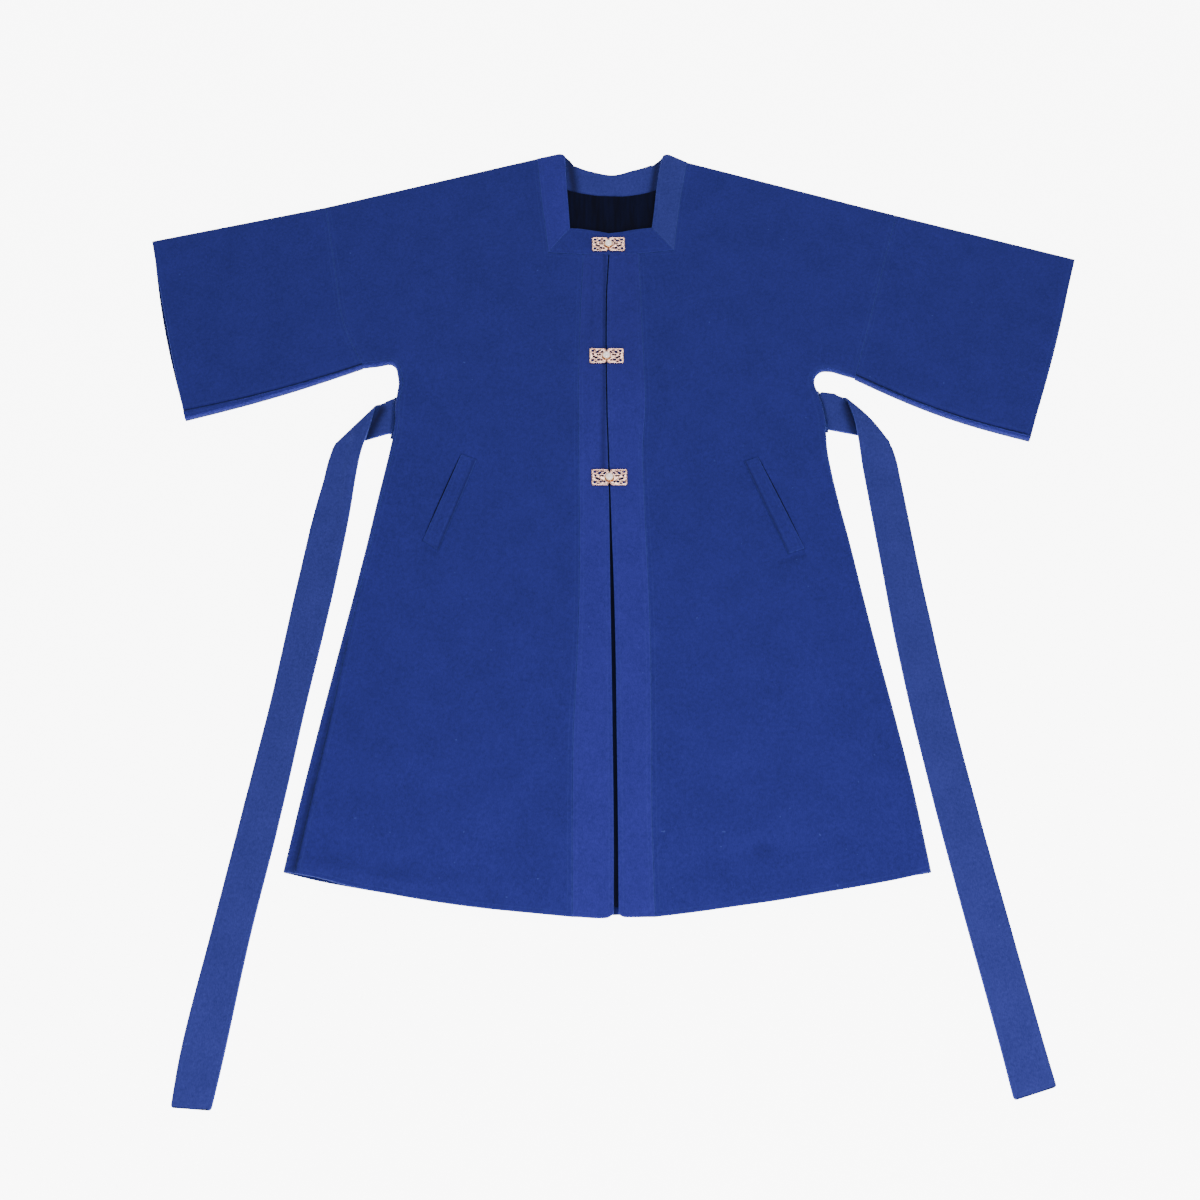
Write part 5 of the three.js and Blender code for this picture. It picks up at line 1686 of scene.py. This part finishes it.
@dataclass
class Clasp:
    """A pierced plate in two halves that meet at the slit, with a pearl over the joint."""

    name: str
    centre: Size
    finishes: Finishes
    length: float = 45.0
    height: float = 22.6
    wall: float = 1.4
    notch: float = 3.2
    joint: float = 0.2
    clear: float = 0.3
    rim: float = 0.62
    pearl_radius: float = 4.8
    bezel: float = 5.9
    bump: float = 0.45
    bevel: float = 0.18
    ring_points: int = 120
    round_steps: int = 40
    wire: float = 0.34
    eye: float = 0.5
    grain: float = 0.55
    grain_level: float = 1.35
    grains: int = 20
    # The bezel's cup, inset from its radius and height, and the pearl: its foot, middle,
    # half height and top over the seat.
    cup: tuple = ((0.5, 0), (0, 0.35), (0.1, 0.9), (0.6, 1.5), (1.0, 1.6), (1.2, 1.1))
    cup_floor: float = 0.9
    pearl_levels: tuple = (1.0, 1.6, 3.6, 5.2)
    # Holes of the half on the wearer's left: x from the joint, y, length, width, turn.
    holes: tuple = (
        (18.2, 7.7, 3.0, 2.6, 40), (18.2, -7.0, 3.2, 2.8, -35), (12.2, 6.0, 3.9, 2.5, -32),
        (5.9, 5.9, 3.2, 1.6, -48), (8.9, 8.6, 2.6, 1.2, 5), (8.6, 2.0, 1.8, 1.6, 0),
        (11.5, 1.9, 1.7, 1.5, 0), (14.9, -2.5, 6.0, 1.7, 24), (10.3, -6.2, 3.3, 2.3, -12),
        (6.4, -6.4, 1.9, 1.8, 0), (15.2, 8.9, 2.0, 1.0, 0), (14.2, -8.7, 2.4, 1.0, 0),
        (17.8, 2.7, 2.8, 1.2, 64),
    )
    # How much longer and wider the holes are than that.
    opened: float = 1.0
    # Scrolls on it: x, y of the eye, outer radius, turns, start angle, and 1 or -1 for its way.
    scrolls: tuple = (
        (15.4, 5.0, 1.7, 1.2, 200, 1), (14.4, -5.7, 1.7, 1.2, 20, -1),
        (8.9, 5.2, 1.3, 1.1, 320, 1), (11.6, -1.2, 1.3, 1.0, 80, -1),
    )

    def base(self) -> float:
        """Height of the plate's underside over the bands."""
        x, y = self.centre
        reach, half = self.height / 2, self.length / 2
        gx, gy = np.meshgrid([x - half, x, x + half], [y - reach, y, y + reach])
        return float(band_z(gx, gy).max()) + BAND_WALL / 2 + self.clear

    def outline(self) -> np.ndarray:
        """Line round the left half: V notches at the joint and small round bumps outside."""
        reach, half, cut = self.height / 2, self.length / 2, self.notch
        t = np.linspace(-1, 1, 33)
        bumps = half - self.bump + self.bump * np.abs(np.cos(np.pi * t * 1.5)) ** 0.7
        y = t * (reach - 0.55)
        right = np.column_stack([bumps, y])
        return np.vstack([
            [(self.joint, -reach + cut), (self.joint + cut / 2, -reach + 0.3),
             (self.joint + cut / 2 + 0.5, -reach)],
            [(half - 1.0, -reach)], right, [(half - 1.0, reach)],
            [(self.joint + cut / 2 + 0.5, reach), (self.joint + cut / 2, reach - 0.3),
             (self.joint, reach - cut)],
        ])

    def slots(self) -> list[np.ndarray]:
        """Lines round the holes: each a bean, a slot whose ends are round and middle bent."""
        angle = 2 * np.pi * np.arange(14) / 14
        lines = []
        for x, y, length, width, turn in self.holes:
            length, width = length + self.opened, width + self.opened
            along = np.sign(np.cos(angle)) * (length - width) / 2 + width / 2 * np.cos(angle)
            across = width / 2 * np.sin(angle) + 0.05 * along**2
            c, s = math.cos(math.radians(turn)), math.sin(math.radians(turn))
            lines.append(np.column_stack([x + along * c - across * s,
                                          y + along * s + across * c]))
        return lines

    def scrollwork(self) -> list[Skin]:
        """Raised wires that curl in to an eye, thinner inward, each with a bead at the eye."""
        skins = []
        for x, y, radius, turns, start, way in self.scrolls:
            t = np.linspace(0, 1, 22)
            angle = math.radians(start) + way * 2 * np.pi * turns * t
            reach = radius * (1 - 0.78 * t)
            path = np.column_stack([x + reach * np.cos(angle), y + reach * np.sin(angle),
                                    np.full(len(t), self.wall + 0.05)])
            skins.append(tube(path, self.wire * (1 - 0.35 * t), 6))
            skins.append(placed(self.bead(self.eye), (x, y, self.wall + 0.1)))
        return skins

    @staticmethod
    def bead(radius: float, sides: int = 10) -> Skin:
        """A small round grain."""
        angle = np.linspace(-np.pi / 2, np.pi / 2, 7)
        return turned_form(np.column_stack([np.cos(angle), np.sin(angle)]) * radius, sides)

    def half_plate(self) -> Skin:
        """The left half: pierced plate, raised rim and scrollwork."""
        outline = self.outline()
        plate = pierced(outline, self.slots(), self.wall, self.bevel)
        middle = np.array([self.length / 4 + 0.6, 0.0])
        inward = unit(middle - outline) * (self.rim + 0.1)
        closed_line = np.vstack([outline + inward, (outline + inward)[:1]])
        length = lengths(closed_line)
        even = np.linspace(0, length[-1], self.ring_points + 1)[:-1]
        ring = np.column_stack([read_at(even, length, closed_line),
                                np.full(len(even), self.wall)])
        return joined([plate, tube(ring, self.rim, 6, closed=True), *self.scrollwork()])

    def build(self) -> None:
        """Makes both halves, the bezel with its grains, and the pearl."""
        x, y = self.centre
        base = self.base()
        half = self.half_plate()
        for side in Side:
            skin = placed(half, (x, y, base), mirror=side is Side.RIGHT)
            obj = make_object(f"plate_{self.name}_{side.value}", skin, self.finishes.plate)
            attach(obj, "root")
            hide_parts(f"clasp_{self.name}_{side.value}")
        seat = base + self.wall + self.clear
        r = self.bezel
        cup = turned_form([(0, 0), *((r - inset, z) for inset, z in self.cup),
                           (0, self.cup_floor)], self.round_steps)
        angle = 2 * np.pi * np.arange(self.grains) / self.grains
        grains = [placed(self.bead(self.grain, 8), ((r - 0.35) * math.cos(a),
                                                    (r - 0.35) * math.sin(a),
                                                    self.grain_level)) for a in angle]
        setting = placed(joined([cup, *grains]), (x, y, seat))
        obj = make_object(f"bezel_{self.name}", setting, self.finishes.bezel)
        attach(obj, "root")
        sweep = np.linspace(-0.35 * np.pi, 0.5 * np.pi, 20)
        foot, middle, tall, top = self.pearl_levels
        dome = np.column_stack([self.pearl_radius * np.cos(sweep), middle + tall * np.sin(sweep)])
        dome = np.vstack([[(0, foot)], [(dome[0, 0] * 0.8, foot)],
                          dome[dome[:, 1] > foot + 0.05][:-1], [(0, top)]])
        pearl = placed(turned_form(dome, self.round_steps), (x, y, seat))
        obj = make_object(f"pearl_{self.name}_bead", pearl, self.finishes.pearl)
        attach(obj, "root")
        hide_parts(f"pearl_{self.name}")


@dataclass
class Studio:
    """Pale floor, soft light and the camera at the photograph's angle."""

    aim: tuple[float, float, float] = (-0.016, -0.057, 0.008)
    tilt: float = 24.0
    distance: float = 1.601
    lens: float = 40.0
    floor_half: float = 6.0
    floor_drop: float = 0.0005
    floor_glow: float = 8.0
    sky: float = 0.34
    # Name, place, size and watts.
    lights: tuple = (("key", (0.3, -1.9, 1.4), 1.4, 51), ("gloss", (0.05, 1.7, 2.1), 0.9, 15))

    def camera(self) -> None:
        """Camera tilted from the vertical, looking at the middle of the jacket."""
        data = bpy.data.cameras.new("camera")
        data.lens = self.lens
        data.sensor_width = 36.0
        obj = linked("camera", data)
        turn = math.radians(self.tilt)
        obj.location = (self.aim[0], self.aim[1] - self.distance * math.sin(turn),
                        self.aim[2] + self.distance * math.cos(turn))
        obj.rotation_euler = (turn, 0, 0)
        bpy.context.scene.camera = obj

    def light(self, name: str, place: Sequence[float], size: float, watts: float) -> None:
        """One soft square light aimed at the jacket."""
        data = bpy.data.lights.new(name, "AREA")
        data.size = size
        data.energy = watts
        obj = linked(name, data)
        obj.location = place
        toward = np.asarray(self.aim) - np.asarray(place)
        flat = math.hypot(toward[0], toward[1])
        obj.rotation_euler = (math.atan2(flat, -toward[2]), 0,
                              math.atan2(toward[1], toward[0]) - math.pi / 2)

    def floor(self) -> None:
        """A white floor that glows a little, as a lit sweep does."""
        mesh = bpy.data.meshes.new("floor")
        half = self.floor_half
        mesh.from_pydata([(-half, -half, 0), (half, -half, 0), (half, half, 0), (-half, half, 0)],
                         [], [(0, 1, 2, 3)])
        obj = linked("floor", mesh)
        obj.location = (0, 0, -self.floor_drop)
        n = Nodes("white_sweep")
        n.own({"Base Color": (0.9, 0.9, 0.9), "Roughness": 1.0,
               "Emission Color": (1.0, 1.0, 1.0), "Emission Strength": self.floor_glow})
        mesh.materials.append(n.material)

    def build(self) -> None:
        """Sets the world, the floor, the lights and the camera."""
        world = bpy.data.worlds.new("studio")
        world.use_nodes = True
        for socket, value in zip(world.node_tree.nodes["Background"].inputs,
                                 ((1, 1, 1, 1), self.sky)):
            socket.default_value = value
        bpy.context.scene.world = world
        self.floor()
        for light in self.lights:
            self.light(*light)
        self.camera()


def write_sizes() -> None:
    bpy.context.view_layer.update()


def main() -> None:
    """Builds every piece of the jacket in order and reports it."""
    finishes = Finishes()
    Studio().build()
    Back(finishes).build()
    Lining(finishes).build()
    for side in Side:
        Front(side, finishes).build()
        Sleeve(side, finishes).build()
        FrontBand(side, finishes).build()
        Welt(side, finishes).build()
        BeltLoop(side, finishes).build()
    Collar(finishes).build()
    Belt(finishes).build()
    for name, centre in CLASPS.items():
        Clasp(name, centre, finishes).build()
    write_sizes()


if __name__ == "__main__":
    main()
